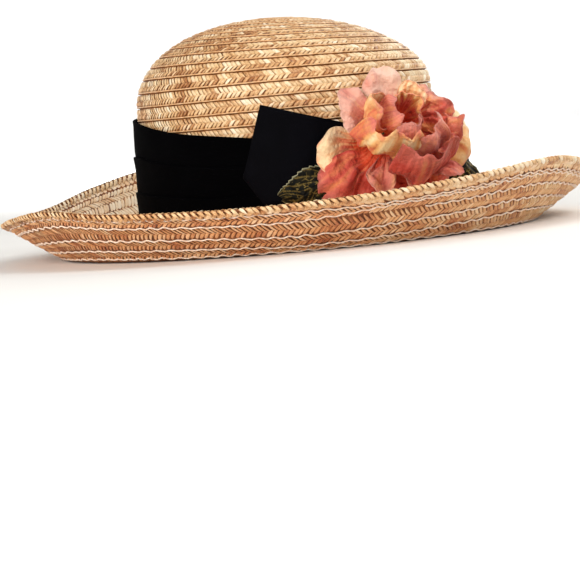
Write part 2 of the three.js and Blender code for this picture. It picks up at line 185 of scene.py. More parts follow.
class Finish:
    """One material, built round a Principled shader."""

    def __init__(self, name, **values):
        self.material = bpy.data.materials.new(name)
        self.material.use_nodes = True
        self.tree = self.material.node_tree
        self.shader = self.tree.nodes["Principled BSDF"]
        for socket, value in values.items():
            self.shader.inputs[socket_name(socket)].default_value = value

    def node(self, kind, settings=None, inputs=None, output=0):
        node = self.tree.nodes.new(kind)
        for setting, value in (settings or {}).items():
            if setting == "stops":
                self.set_stops(node.color_ramp, value)
            else:
                setattr(node, setting, value)
        for socket, value in (inputs or {}).items():
            self.join(node.inputs[socket], value)
        return Link(self, node.outputs[output])

    def set_stops(self, ramp, stops):
        while len(ramp.elements) < len(stops):
            ramp.elements.new(1.0)
        for element, (place, colour) in zip(ramp.elements, stops):
            element.position = place
            element.color = colour

    def join(self, socket, value):
        if isinstance(value, Link):
            self.tree.links.new(value.socket, socket)
        else:
            socket.default_value = value

    def surface(self, **links):
        for socket, value in links.items():
            self.join(self.shader.inputs[socket_name(socket)], value)

    def place(self):
        return self.node("ShaderNodeTexCoord", output="Object")

    def uv(self):
        return self.node("ShaderNodeTexCoord", output="UV")

    def attribute(self, name):
        return self.node("ShaderNodeAttribute", {"attribute_name": name}, output="Fac")

    def scaled(self, vector, scale):
        return self.node("ShaderNodeMapping", {}, {"Vector": vector, "Scale": scale})

    def noise(self, vector, scale, detail=3.0):
        return self.node("ShaderNodeTexNoise", {}, {"Vector": vector, "Scale": scale, "Detail": detail})

    def ramp(self, factor, stops):
        return self.node("ShaderNodeValToRGB", {"stops": stops}, {0: factor})

    def blend(self, factor, low, high, how="MIX"):
        settings = {"data_type": "RGBA", "blend_type": how}
        return self.node("ShaderNodeMix", settings, {0: factor, 6: low, 7: high}, output=2)

    def bump(self, height, distance, strength=1.0):
        inputs = {"Height": height, "Distance": distance, "Strength": strength}
        return self.node("ShaderNodeBump", {}, inputs)


# %% [markdown]
# Straw
# Split straw is pale, waxy and never twice the same colour. Each little strip of a plait is a piece of mesh
# of its own here, and carries its own tone from 0 (brown) to 1 (cream), so one material serves them all. The
# tone also holds painted shade: it is darker at each strip's sides and at its ends. A second value, warm,
# turns some strips orange, and all the straw is a little redder on the hat's right side, which is painted
# shade. Fine fibres run along each strip, which its UV map knows.

# %% Straw materials
def straw_finish(name, stops, warm_tint, shaded_side_tint, roughness):
    finish = Finish(name, roughness=roughness, specular_ior_level=0.6)
    tone = finish.attribute("tone")
    warm = finish.attribute("warm")
    strip = finish.scaled(finish.uv(), (3.2, 0.8, 1.0))
    fibre = finish.noise(strip, 2.5, 2.0)
    grain = finish.noise(finish.place(), 700.0, 2.0)
    colour = finish.ramp(tone + (fibre - 0.5) * 0.9 + (grain - 0.5) * 0.4, stops)
    colour = finish.blend(warm, colour, warm_tint, "MULTIPLY")
    # Painted shade: the straw is tinted a little redder towards the hat's right side.
    towards_left = finish.node("ShaderNodeSeparateXYZ", {}, {"Vector": finish.place()}, output="X")
    colour = finish.blend(1 - towards_left.between(-0.15, 0.1), colour, shaded_side_tint, "MULTIPLY")
    finish.surface(base_color=colour, roughness=roughness + (fibre - 0.5) * 0.3)
    finish.surface(normal=finish.bump(fibre, 0.0004, 0.7))
    return finish.material


pale_straw = straw_finish(
    "pale_straw",
    stops=[
        (0.0, rgb(92, 46, 16)), (0.25, rgb(184, 134, 82)),
        (0.55, rgb(234, 206, 162)), (1.0, rgb(255, 250, 234))],
    warm_tint=rgb(246, 194, 140), shaded_side_tint=rgb(255, 240, 222), roughness=0.34,
)
tan_straw = straw_finish(
    "tan_straw",
    stops=[
        (0.0, rgb(92, 38, 16)), (0.25, rgb(190, 130, 84)),
        (0.55, rgb(232, 190, 134)), (1.0, rgb(255, 238, 200))],
    warm_tint=rgb(246, 190, 142), shaded_side_tint=rgb(255, 234, 222), roughness=0.42,
)
print("straw", pale_straw.name, tan_straw.name)

# %% [markdown]
# The ground under the plait
# Between the strips the eye looks into the braid, where it is dark and brown. The shells of crown and brim
# lie there, so their colour is that of shaded straw.

# %% Shell material
def shell_finish(name, dark, light):
    finish = Finish(name, roughness=0.8)
    cloudy = finish.noise(finish.place(), 160.0, 4.0)
    fine = finish.noise(finish.place(), 1400.0, 2.0)
    finish.surface(base_color=finish.blend(cloudy.between(0.3, 0.7), dark, light))
    finish.surface(roughness=0.7 + fine * 0.2, normal=finish.bump(fine, 0.0004, 0.6))
    return finish.material


crown_shade = shell_finish("crown_shade", rgb(112, 60, 24), rgb(172, 106, 54))
brim_shade = shell_finish("brim_shade", rgb(96, 46, 20), rgb(158, 98, 56))

# %% [markdown]
# The form of the crown
# The crown is an upright oval wall under an oval dome. Any place on it is given by an angle round it and a
# distance up its section, so that braid rows are simply equal steps of distance.

# %% Crown sizes and surface
MIDDLE_Y = 6.0
BASE = {"half_x": 84.0, "half_y": 100.0, "z": 13.3}
SHOULDER = {"half_x": 81.8, "half_y": 97.6, "z": 87.0}
DOME_HEIGHT = 47.0
CROWN_WALL = 1.7
ROW_PITCH = 8.1
LEAN = 0.045
LEAN_BEARING = math.radians(50)

side_length = SHOULDER["z"] - BASE["z"]
dome_half = (SHOULDER["half_x"] + SHOULDER["half_y"]) / 2
dome_angles = np.linspace(0, math.pi / 2, 400)
dome_steps = np.hypot(dome_half * np.sin(dome_angles), DOME_HEIGHT * np.cos(dome_angles))
dome_walked = np.concatenate([[0], np.cumsum((dome_steps[1:] + dome_steps[:-1]) / 2 * np.diff(dome_angles))])
section_length = side_length + dome_walked[-1]
CROWN_ROWS = int(section_length / ROW_PITCH)


def wall_halves(z):
    """Half the crown's width and half its depth at a height of its wall."""
    share = np.clip((z - BASE["z"]) / side_length, 0, 1)
    return mix(BASE["half_x"], SHOULDER["half_x"], share), mix(BASE["half_y"], SHOULDER["half_y"], share)


def off_wall(bearing, z, stand):
    """A point at a bearing and a height, that stands off the crown's wall."""
    half_x, half_y = wall_halves(z)
    x = (half_x + stand) * np.sin(bearing)
    y = MIDDLE_Y - (half_y + stand) * np.cos(bearing)
    return np.stack(np.broadcast_arrays(x, y, z), axis=-1)


def dome_drop(x, back):
    """How far a place of the dome is lowered, because the dome leans."""
    reach = np.hypot(x / SHOULDER["half_x"], back / SHOULDER["half_y"])
    along = x * math.sin(LEAN_BEARING) - back * math.cos(LEAN_BEARING)
    return LEAN * along * np.maximum(0, 1 - reach**6)


def crown_surface(angle, distance):
    """A point of the crown's smooth outer face, in millimetres."""
    half_x, half_y = wall_halves(BASE["z"] + distance)
    dome = np.interp(distance - side_length, dome_walked, dome_angles)
    x = half_x * np.cos(dome) * np.sin(angle)
    back = -half_y * np.cos(dome) * np.cos(angle)
    z = np.minimum(distance, side_length) + BASE["z"] + DOME_HEIGHT * np.sin(dome)
    z = z - np.where(distance > side_length, dome_drop(x, back), 0)
    return np.stack(np.broadcast_arrays(x, back + MIDDLE_Y, z), axis=-1)


print("crown rows", CROWN_ROWS, "section", round(section_length, 1), "mm")

# %% [markdown]
# Standing off a surface
# Strips, cords and folds lie on a surface at a small lift. The surface's own normal comes from two short
# steps along it, and the lift follows that normal.

# %% Lifting points off a surface
def lifted(surface, angle, across, lift, outward=1.0, step=0.02):
    angle, across, lift = np.broadcast_arrays(angle, across, lift)
    round_step = surface(angle + step, across) - surface(angle - step, across)
    span = surface.across_step
    up_step = surface(angle, across + span) - surface(angle, across - span)
    normal = np.cross(round_step, up_step)
    size = np.linalg.norm(normal, axis=-1, keepdims=True)
    normal = normal / np.maximum(size, 1e-9) * outward
    return surface(angle, across) + normal * lift[..., None]


crown_surface.across_step = 0.6

# %% [markdown]
# The crown's shell
# A circle is extruded ring by ring, as one turns a pot: each row of braid is a small step out at its lower
# edge and a slope back in above it. Solidify then gives the shell its wall, and the last ring is merged into
# the button of the hat.

# %% A helper that extrudes rings
def extruded_rings(name, rings, sides):
    """Rings of (half_x, half_y, middle_y, z) in millimetres, each extruded from the one before."""
    deselect()
    bpy.ops.mesh.primitive_circle_add(vertices=sides, radius=1, fill_type="NOTHING", enter_editmode=True)
    bpy.ops.mesh.select_all(action="SELECT")
    last = (1 / MM, 1 / MM, 0.0, 0.0)
    for number, ring in enumerate(rings):
        shift = (0, (ring[2] - last[2]) * MM, (ring[3] - last[3]) * MM)
        if number:
            bpy.ops.mesh.extrude_region_move(TRANSFORM_OT_translate={"value": shift})
        else:
            bpy.ops.transform.translate(value=shift)
        size = (ring[0] / last[0], ring[1] / last[1], 1)
        bpy.ops.transform.resize(value=size, center_override=(0, ring[2] * MM, ring[3] * MM))
        last = ring
    bpy.ops.mesh.select_all(action="SELECT")
    bpy.ops.mesh.normals_make_consistent(inside=False)
    bpy.ops.object.mode_set(mode="OBJECT")
    return named(name)


# %% Crown shell
SHELL_SIDES = 144
GROOVE = 0.13  # the share of a row that the dark groove under it takes
ROW_OUT = 0.5  # how far the lower edge of a row's shell stands off the smooth face
ROW_IN = -0.7


def crown_ring(distance, lift):
    """One ring of the crown's shell, off the smooth face: its two halves, its middle and its height."""
    half_x, half_y = wall_halves(BASE["z"] + distance)
    dome = float(np.interp(distance - side_length, dome_walked, dome_angles))
    z = min(distance, side_length) + BASE["z"] + DOME_HEIGHT * math.sin(dome)
    size = math.hypot(math.cos(dome) / dome_half, math.sin(dome) / DOME_HEIGHT)
    out = lift * math.cos(dome) / dome_half / size
    rise = lift * math.sin(dome) / DOME_HEIGHT / size
    return (half_x * math.cos(dome) + out, half_y * math.cos(dome) + out, MIDDLE_Y, z + rise)


rings = []
for row in range(CROWN_ROWS):
    low = row * ROW_PITCH
    rings.append(crown_ring(low, ROW_IN))
    rings.append(crown_ring(low + GROOVE * ROW_PITCH, ROW_IN))
    rings.append(crown_ring(low + GROOVE * ROW_PITCH, ROW_OUT))
rings.append(crown_ring(CROWN_ROWS * ROW_PITCH, ROW_IN))
rings.append((0.01, 0.01, MIDDLE_Y, SHOULDER["z"] + DOME_HEIGHT - 0.2))
crown_shell = extruded_rings("crown_shell", rings, SHELL_SIDES)
points = points_of(crown_shell)
in_dome = points[:, 2] > SHOULDER["z"]
points[:, 2] -= np.where(in_dome, dome_drop(points[:, 0], points[:, 1] - MIDDLE_Y), 0)
move_points(crown_shell, points)
only(crown_shell)
bpy.ops.object.mode_set(mode="EDIT")
bpy.ops.mesh.select_all(action="SELECT")
bpy.ops.mesh.remove_doubles(threshold=0.00005)
bpy.ops.object.mode_set(mode="OBJECT")
apply_modifier(crown_shell, "SOLIDIFY", thickness=(CROWN_WALL + ROW_IN) * MM, offset=-1)
finish_piece(crown_shell, crown_shade, "crown_straw", "crown")

# %% [markdown]
# Plaited strips
# In this plait the strips lean in two lanes that meet in the middle of the row like arrowheads. One strip is
# a small arched tile: it comes out from under its neighbour at the middle of the row, rises, and turns under
# at the edge. The tile is drawn once, and every lane lays it round the hat by its arc length, each copy with
# its own small error and its own tone. The lanes stand in tables, with their places across the row as shares
# of it and their lengths in millimetres.

# %% One strip, and a lane of them
STRIP_LONG = 3
STRIP_WIDE = 4
PLACE_ERROR = 0.12  # of a strip's place round the hat and of its width, as a share of the pitch
SLANT_ERROR = 0.08
END_ERROR = 0.04
HEIGHT_ERROR = 0.25
SIDE_UP = 0.35  # how far one side of a strip stands over the other, as a share of its height
END_DOWN = 0.12  # how much deeper its ends go under their neighbours
PATCH_SIZE = 11.0  # of the paler and darker patches of straw, in millimetres
PATCH_TONE = 0.3
STRIP_TONE = 0.17
GLINT_TONE = 0.35  # how much paler one strip in ten is
strip_a, strip_b = (grid.ravel() for grid in np.meshgrid(
    np.linspace(0, 1, STRIP_LONG + 1), np.linspace(-0.5, 0.5, STRIP_WIDE + 1), indexing="ij"))
strip_faces = np.array([
    (i * (STRIP_WIDE + 1) + j, (i + 1) * (STRIP_WIDE + 1) + j,
     (i + 1) * (STRIP_WIDE + 1) + j + 1, i * (STRIP_WIDE + 1) + j + 1)
    for i in range(STRIP_LONG) for j in range(STRIP_WIDE)])
round_angles = np.linspace(0, 2 * math.pi, 721)


class Plait:
    """Collects strips until they are joined into one mesh."""

    def __init__(self, surface, outward, seed):
        self.surface = surface
        self.outward = outward
        self.random = np.random.default_rng(seed)
        self.points, self.faces, self.tones, self.warms, self.uvs = [], [], [], [], []
        self.count = 0

    def add(self, points, faces, tone, warm, uv):
        self.points.append(points.reshape(-1, 3))
        self.faces.append(faces.reshape(-1, 4) + self.count)
        self.tones.append(np.ravel(tone))
        self.warms.append(np.ravel(warm))
        self.uvs.append(uv.reshape(-1, 2))
        self.count += len(self.points[-1])

    def face_outwards(self, faces, corners, out):
        """Turn the faces over if a face with these corners looks the other way than out."""
        facing = np.cross(corners[1] - corners[0], corners[2] - corners[0])
        return faces[..., ::-1] if np.dot(facing, out) < 0 else faces

    def lane(self, edge, middle, pitch, slant, height, lift, tone, warm, edge_width=1.0, middle_width=1.0,
             offset=0.0, fill=1.0):
        """Strips from the row's edge to its middle, in the surface's own across units. slant is how far a
        strip runs on round the hat on its way to the middle, offset how far the lane is shifted, in strips,
        fill the share of the pitch that a strip covers, and the two widths how far its ends narrow."""
        walked = walked_along(self.surface(round_angles, (edge + middle) / 2))
        count = max(5, round(walked[-1] / pitch))
        pitch = walked[-1] / count
        wander = self.random.uniform(-1, 1, (5, count, 1))
        start = (np.arange(count)[:, None] + offset + PLACE_ERROR * wander[0]) * pitch
        ends = mix(edge_width, 1.0, smooth(strip_a * 2)) * mix(1.0, middle_width, smooth(strip_a * 2 - 1))
        width = pitch * (fill + PLACE_ERROR * wander[1]) * ends
        round_place = start + slant * (1 + SLANT_ERROR * wander[2]) * (strip_a - 0.5) + strip_b * width
        angle = np.interp(round_place % walked[-1], walked, round_angles)
        across = mix(edge, middle, strip_a + END_ERROR * wander[3])
        arch = np.sqrt(np.maximum(0, 1 - (1.9 * strip_b) ** 2))
        rise = mix(0.35, 1.0, smooth(strip_a * 3.2)) * mix(1.0, 0.3, smooth((strip_a - 0.6) / 0.4))
        over = lift + height * (1 + HEIGHT_ERROR * wander[4]) * arch * rise
        over = over + SIDE_UP * height * strip_b * 2 - END_DOWN * (1 - rise)
        points = lifted(self.surface, angle, across, over, self.outward)
        faces = strip_faces[None] + (np.arange(count) * len(strip_a))[:, None, None]
        foot = self.surface(angle[0, :1], across[0, :1])
        out = lifted(self.surface, angle[0, :1], across[0, :1], np.ones(1), self.outward) - foot
        faces = self.face_outwards(faces, points[0][strip_faces[len(strip_faces) // 2]], out[0])
        middles = points[:, len(strip_a) // 2]
        patches = ripple(middles[:, 0], middles[:, 1], middles[:, 2], PATCH_SIZE, 3)[:, None]
        own = tone + PATCH_TONE * patches + STRIP_TONE * self.random.uniform(-1, 1, (count, 1))
        own = own + GLINT_TONE * (self.random.uniform(0, 1, (count, 1)) > 0.9)
        # Painted shade: a strip is darker towards its sides and at its ends, where it goes under its
        # neighbours.
        own = own * mix(0.72, 1.0, arch) - 0.2 * (1 - rise)
        warmth = warm - PATCH_TONE * patches + np.zeros_like(own)
        uv = np.stack(np.broadcast_arrays(strip_b + 3.7 * wander[0], strip_a + 9.1 * wander[1]), axis=-1)
        self.add(points, faces, np.clip(own, 0, 1), np.clip(warmth, 0, 1), uv)

    def piping(self, across, half_width, lift, height, tone, warm, segments=240):
        """A smooth raised edge that runs right round the hat."""
        turns = np.linspace(0, 2 * math.pi, segments, endpoint=False)[:, None]
        section = np.array([-1.0, -0.75, 0.0, 0.75, 1.0])
        wobble = 0.15 * half_width * np.sin(turns * 37 + 5 * np.sin(turns * 11))
        arch = height * np.sqrt(np.maximum(0, 1 - section**2))
        place = across + wobble + half_width * section
        points = lifted(self.surface, turns, place, lift + arch, self.outward)
        corners = np.array([(0, 1, len(section) + 1, len(section))]) + np.arange(len(section) - 1)[:, None]
        faces = corners[None] + (np.arange(segments) * len(section))[:, None, None]
        faces = faces % (segments * len(section))
        out = points[0, 2] - self.surface(turns[0], np.array([across]))[0]
        faces = self.face_outwards(faces, points.reshape(-1, 3)[faces[0, 1]], out)
        speckle = 0.1 * self.random.uniform(-1, 1, (segments, 1)) + 0.1 * np.sin(turns * 90)
        # Painted shade: the piping is darker towards its two sides.
        tones = np.clip(tone + speckle - 0.15 * np.abs(section), 0, 1)
        uv = np.stack(np.broadcast_arrays(section, turns * 40), axis=-1)
        self.add(points, faces, tones, warm + np.zeros_like(tones), uv)

    def join(self, name):
        points = np.concatenate(self.points) * MM
        faces = np.concatenate(self.faces)
        mesh = bpy.data.meshes.new(name)
        mesh.from_pydata(points.tolist(), [], faces.tolist())
        for attribute, values in (("tone", self.tones), ("warm", self.warms)):
            layer = mesh.attributes.new(attribute, "FLOAT", "POINT")
            layer.data.foreach_set("value", np.concatenate(values))
        uv = np.concatenate(self.uvs)[faces.ravel()]
        mesh.uv_layers.new(name="UVMap").data.foreach_set("uv", uv.ravel())
        mesh.shade_smooth()
        piece = bpy.data.objects.new(name, mesh)
        bpy.context.collection.objects.link(piece)
        return piece


# %% Crown plait
FIRST_BARE_ROW = 5  # the rows below are under the band
TOP_PAINTED_SHADE = 0.12  # painted shade: how much darker the rows near the top are
TOP_SHADE_FROM = 0.3  # as a share of the way up
TOP_SHADE_OVER = 0.4
LOWEST_STAND = 0.7  # how far the strips of the lowest row stand off the crown
PLAIT_PITCH = 2.95
CROWN_STRIP = {"pitch": PLAIT_PITCH, "slant": 2.9, "height": 0.75}
PIPING = {"half_width": 0.05 * ROW_PITCH, "height": 0.5, "tone": 0.66, "warm": 0.4}
CROWN_LANES = read_table("""
edge  middle   lift  tone  warm  edge_width  offset
0.23    0.66  -0.05  0.55   0.2         0.7     0.0
1.05    0.58  -0.15  0.61   0.0         1.0     0.5
""")
TIP_LANE = {"pitch": PLAIT_PITCH, "slant": 2.0, "height": 0.5, "lift": 0.2, "tone": 0.6, "warm": 0.1}


def up_crown(row, share):
    """How far up the crown a share of a row lies, walked along its face."""
    return (row + share) * ROW_PITCH


crown_plait = Plait(crown_surface, 1.0, 11)
for row in range(FIRST_BARE_ROW, CROWN_ROWS):
    stand = LOWEST_STAND * (1 - row / CROWN_ROWS)
    # Painted shade: the rows towards the top of the crown are darker.
    top_shade = TOP_PAINTED_SHADE * smooth((row / CROWN_ROWS - TOP_SHADE_FROM) / TOP_SHADE_OVER)
    crown_plait.piping(up_crown(row, 0.19), lift=stand + 0.25, **PIPING)
    for lane in CROWN_LANES:
        crown_plait.lane(
            up_crown(row, lane["edge"]), up_crown(row, lane["middle"]), lift=stand + lane["lift"],
            tone=lane["tone"] - top_shade, warm=lane["warm"], edge_width=lane["edge_width"],
            offset=lane["offset"] + 0.5 * (row % 2), **CROWN_STRIP)
crown_plait.lane(CROWN_ROWS * ROW_PITCH - 0.6, section_length - 0.4, **TIP_LANE)
crown_braid = crown_plait.join("crown_braid")
finish_piece(crown_braid, pale_straw, "crown_straw")

# %% [markdown]
# The form of the brim
# The brim slopes down from the crown, lies on one row of braid, and turns up to the rim, higher at the front
# and the back than at the sides. A place on it is an angle and a share of the way from the crown to the rim.

# %% Brim sizes and surface
RIM_HALF_X = 178.0
RIM_HALF_Y = 184.0
HEADLINE_Z = 13.0
BRIM_WALL = 2.0
FLAT_FROM = 0.51
FLAT_TO = 0.59
UPTURN = 1.1
RIM_HEIGHTS = {
    -158: 30.0, -130: 25.6, -112: 30.5, -95: 35.0, -78: 31.5, -50: 29.3, -28: 31.2, -8: 35.6,
    13: 40.2, 30: 34.0, 50: 25.0, 75: 25.0, 105: 25.5, 140: 33.0, 172: 47.5, 187: 40.0,
}


def curve_round(table):
    """A smooth closed curve through a table of values by bearing, as a function of the angle."""
    bearings = np.array(sorted(bearing % 360 for bearing in table), float)
    values = np.array([table[b] if b in table else table[b - 360] for b in bearings.astype(int)])
    reach = (np.roll(bearings, -1) - bearings) % 360 + (bearings - np.roll(bearings, 1)) % 360
    slopes = (np.roll(values, -1) - np.roll(values, 1)) / reach
    degrees = np.linspace(0, 360, 721)
    first = (np.searchsorted(bearings, degrees, side="right") - 1) % len(bearings)
    second = (first + 1) % len(bearings)
    span = (bearings[second] - bearings[first]) % 360
    t = ((degrees - bearings[first]) % 360) / span
    curve = values[first] * (1 + 2 * t) * (1 - t) ** 2 + slopes[first] * span * t * (1 - t) ** 2
    curve += values[second] * t * t * (3 - 2 * t) + slopes[second] * span * t * t * (t - 1)
    return lambda angle: np.interp(np.degrees(angle) % 360, degrees, curve)


rim_height = curve_round(RIM_HEIGHTS)
inner_x = BASE["half_x"] - CROWN_WALL
inner_y = BASE["half_y"] - CROWN_WALL


def brim_surface(angle, share):
    """A point of the middle of the brim's wall, in millimetres."""
    x = mix(inner_x, RIM_HALF_X, share) * np.sin(angle)
    y = MIDDLE_Y * (1 - share) - mix(inner_y, RIM_HALF_Y, share) * np.cos(angle)
    bearing = np.arctan2(RIM_HALF_X * np.sin(angle), RIM_HALF_Y * np.cos(angle))
    inner = (HEADLINE_Z - BRIM_WALL) * smooth(1 - share / FLAT_FROM)
    outer = np.clip((share - FLAT_TO) / (1 - FLAT_TO), 0, None) ** UPTURN
    z = np.where(share < FLAT_FROM, inner, outer * (rim_height(bearing) - BRIM_WALL))
    return np.stack(np.broadcast_arrays(x, y, z + BRIM_WALL / 2), axis=-1)


brim_surface.across_step = 0.006

# %% [markdown]
# The brim's shell
# The brim is extruded outwards from its headline, flat, and then each point is raised to its height. It is
# thinner than the whole brim, because strips lie on both of its faces.

# %% Brim shell
SHELL_WALL = 0.7
shares = np.concatenate([np.linspace(0, FLAT_FROM, 13), np.linspace(FLAT_TO, 0.99, 15)])
rings = [(mix(inner_x, RIM_HALF_X, s), mix(inner_y, RIM_HALF_Y, s), MIDDLE_Y * (1 - s), 0.0) for s in shares]
brim_shell = extruded_rings("brim_shell", rings, SHELL_SIDES)
points = points_of(brim_shell)
ring_share = np.repeat(shares, SHELL_SIDES)
ring_angle = np.arctan2(
    points[:, 0] / mix(inner_x, RIM_HALF_X, ring_share),
    -(points[:, 1] - MIDDLE_Y * (1 - ring_share)) / mix(inner_y, RIM_HALF_Y, ring_share))
move_points(brim_shell, brim_surface(ring_angle, ring_share))
apply_modifier(brim_shell, "SOLIDIFY", thickness=SHELL_WALL * MM, offset=0)
finish_piece(brim_shell, brim_shade, "brim_straw", "brim")

# %% [markdown]
# The brim's rows
# The braid of the brim is sewn in a spiral, so its seams wander in and out a little on their way round. The
# inner part of the brim has even seams here, and the turned-up part has seams with a place for each of a few
# bearings. A second surface takes a row number in place of the share, so that a lane of strips follows its
# seams by itself. Both faces are laid with strips. Where the brim rests, they reach down to the floor.

# %% Seams of the brim
LEVEL_SEAMS = [0.0, 0.085, 0.17, 0.255, 0.34, 0.425, FLAT_FROM, 0.598]
TURNED_SEAMS = [
    {-180: 0.680, -90: 0.702, -62: 0.691, -41: 0.650, -13: 0.676, 20: 0.700, 100: 0.690},
    {-180: 0.770, -85: 0.790, -61: 0.778, -41: 0.740, -20: 0.757, 0: 0.772, 60: 0.775, 120: 0.772},
    {-180: 0.877, -120: 0.893, -81: 0.897, -60: 0.884, -41: 0.863, -17: 0.853, 40: 0.853, 110: 0.862},
    {-180: 0.935, -120: 0.950, -78: 0.957, -55: 0.952, -41: 0.937, -24: 0.921, 0: 0.927, 60: 0.925,
     120: 0.928},
]
EDGE_SHARE = 0.99
seam_lines = [lambda angle, share=share: np.full_like(angle, share) for share in LEVEL_SEAMS]
seam_lines += [curve_round(table) for table in TURNED_SEAMS]
seam_lines += [lambda angle: np.full_like(angle, EDGE_SHARE)]
LAST_ROW = len(seam_lines) - 2


def brim_rows(angle, row):
    """The brim's surface by row number: 3.5 is the middle of the row between seams 3 and 4."""
    angle, row = np.broadcast_arrays(angle, np.clip(row, 0, LAST_ROW + 0.99))
    lines = np.stack([line(angle) for line in seam_lines])
    whole = np.floor(row).astype(int)
    low = np.take_along_axis(lines, whole[None], 0)[0]
    high = np.take_along_axis(lines, whole[None] + 1, 0)[0]
    return brim_surface(angle, mix(low, high, row - whole))


brim_rows.across_step = 0.07

# %% Brim plait
EDGE_PITCH = 3.9
RESTING_ROWS = (len(LEVEL_SEAMS) - 3, len(LEVEL_SEAMS) - 2)
RESTING_STRIP = {"height": 0.45, "lift": 0.05}
UNDER_LANES = read_table("""
edge  middle  pitch  slant  height  lift  tone  warm  edge_width  offset  fill
0.04    0.52    2.9    3.4    0.85  0.10  0.57  0.35        0.62     0.0  0.86
1.00    0.42    2.9    4.0    0.85  0.10  0.60  0.25        0.42     0.5  0.84
""")
# The strips of the upper face are paler than those of the under face: partly the straw's own colour, and
# partly painted light on a face that lies in the crown's shade.
UPPER_LANES = read_table("""
edge   middle  pitch  slant  height  lift  tone  warm  edge_width  offset  fill
-0.03    0.54    2.7    3.4    0.35  0.25  0.85  0.20        0.95     0.0  1.10
1.03     0.46    2.7    3.4    0.35  0.25  0.85  0.20        0.95     0.5  1.10
""")
RIM_LANE = {"edge": 0.0, "middle": 0.85, "pitch": EDGE_PITCH, "height": 0.3, "lift": 0.25, "fill": 1.1}


def lay_row(plait, row, lane, **changes):
    """Lay a lane into a row of the brim, with some of its values changed."""
    lane = {**lane, **changes}
    lane["edge"] += row
    lane["middle"] += row
    plait.lane(**lane)


brim_under = Plait(brim_rows, 1.0, 23)
brim_upper = Plait(brim_rows, -1.0, 37)
for row in range(LAST_ROW):
    half_strip = 0.5 * (row % 2)
    resting = RESTING_STRIP if row in RESTING_ROWS else {}
    for lane in UNDER_LANES:
        lay_row(brim_under, row, lane, offset=lane["offset"] + half_strip, **resting)
    for lane in UPPER_LANES:
        lay_row(brim_upper, row, lane, offset=lane["offset"] + half_strip)
lay_row(brim_under, LAST_ROW, RIM_LANE, slant=-3.0, tone=0.62, warm=0.2)
# Painted light: the rim's strips on the upper face are paler too.
lay_row(brim_upper, LAST_ROW, RIM_LANE, slant=3.0, tone=0.9, warm=0.4)
brim_under_braid = brim_under.join("brim_under_braid")
finish_piece(brim_under_braid, tan_straw, "brim_straw")
brim_upper_braid = brim_upper.join("brim_upper_braid")
finish_piece(brim_upper_braid, pale_straw, "brim_straw")

# %% [markdown]
# The plaited edge
# The rim is bound by a plait that wraps over the edge: from the side it is a row of leaning pads, 4 mm
# apart. Its surface is an oval tube round the rim, and three lanes of strips cover it, on the outer face,
# over the edge and on the inner face. Here the edge and middle of a lane are angles round that tube.

# %% Rim plait
RIM_SHARE = 0.973
EDGE_HALF_HEIGHT = 2.9
EDGE_HALF_THICK = 1.35
EDGE_LANES = read_table("""
edge   middle  slant  height  lift  tone  warm  edge_width  middle_width  offset  fill
-2.90    -1.2    2.2     0.7  -0.2  0.50  0.40         0.7          1.00     0.3  0.95
-1.60     0.4   -3.4     1.0  -0.1  0.60  0.20         0.5          0.35     0.0  0.92
2.75      0.1   -3.8     0.8  -0.2  0.62  0.15         0.6          0.30     0.0  0.88
""")


def edge_surface(angle, turn):
    """Round the rim's edge. turn is an angle: 0 at the very edge, negative on the outer face."""
    rim = np.full_like(angle, 1.0)
    middle = brim_surface(angle, RIM_SHARE * rim)
    towards = brim_surface(angle, rim) - middle
    towards /= np.linalg.norm(towards, axis=-1, keepdims=True)
    level = brim_surface(angle + 0.02, rim) - brim_surface(angle - 0.02, rim)
    normal = np.cross(towards, level)
    normal /= np.linalg.norm(normal, axis=-1, keepdims=True)
    out = EDGE_HALF_HEIGHT * np.cos(turn)
    side = EDGE_HALF_THICK * np.sin(turn)
    return middle + towards * out[..., None] + normal * side[..., None]


edge_surface.across_step = 0.05
edge_plait = Plait(edge_surface, 1.0, 5)
for lane in EDGE_LANES:
    edge_plait.lane(pitch=EDGE_PITCH, **lane)
edge_braid = edge_plait.join("edge_braid")
finish_piece(edge_braid, pale_straw, "brim_straw")

# %% [markdown]
# The wavy cords
# A cream cord is sewn over each seam of the brim's outer face, in small waves. Each one is a curve with a
# round bevel, turned into a mesh and joined with its neighbours. All but one close on themselves: the spiral
# of the braid ends at the front, and there its cord runs up to the outermost one and on beside it.

# %% Wavy cords
CORD_RADIUS = 0.48
CORD_LIFT = 0.85
WAVE_LENGTH = 9.3
WAVE_HEIGHT = 1.0
WAVE_DRIFT = 2.2  # how far the waves run ahead or behind, as a phase
CORD_STEP = 1.4
LOWEST_CORD = {
    -180: 0.604, -130: 0.615, -92: 0.630, -70: 0.620, -42: 0.605, 0: 0.607, 60: 0.604, 120: 0.604,
}
JOIN_FROM = 315.0
JOIN_TO = 340.0
BESIDE = 0.017  # how far the spiral cord lies from the outermost one, once it has joined it
*_, first_seam, second_seam, third_seam, outer_seam, _ = seam_lines
cord_finish = Finish("cream_cord", roughness=0.5)
cord_cloud = cord_finish.noise(cord_finish.place(), 500.0, 3.0)
cord_colour = cord_finish.blend(cord_cloud.between(0.3, 0.7), rgb(240, 204, 176), rgb(255, 240, 224))
cord_finish.surface(base_color=cord_colour, roughness=0.4 + cord_cloud * 0.3)
cord_finish.surface(normal=cord_finish.bump(cord_cloud, 0.0003, 0.5))


def spiral_cord(angle):
    """The share of the cord that follows its seam for a turn and then climbs to the outermost cord."""
    joined = smooth((np.degrees(angle) - JOIN_FROM) / (JOIN_TO - JOIN_FROM))
    return mix(third_seam(angle), outer_seam(angle) - BESIDE, joined)


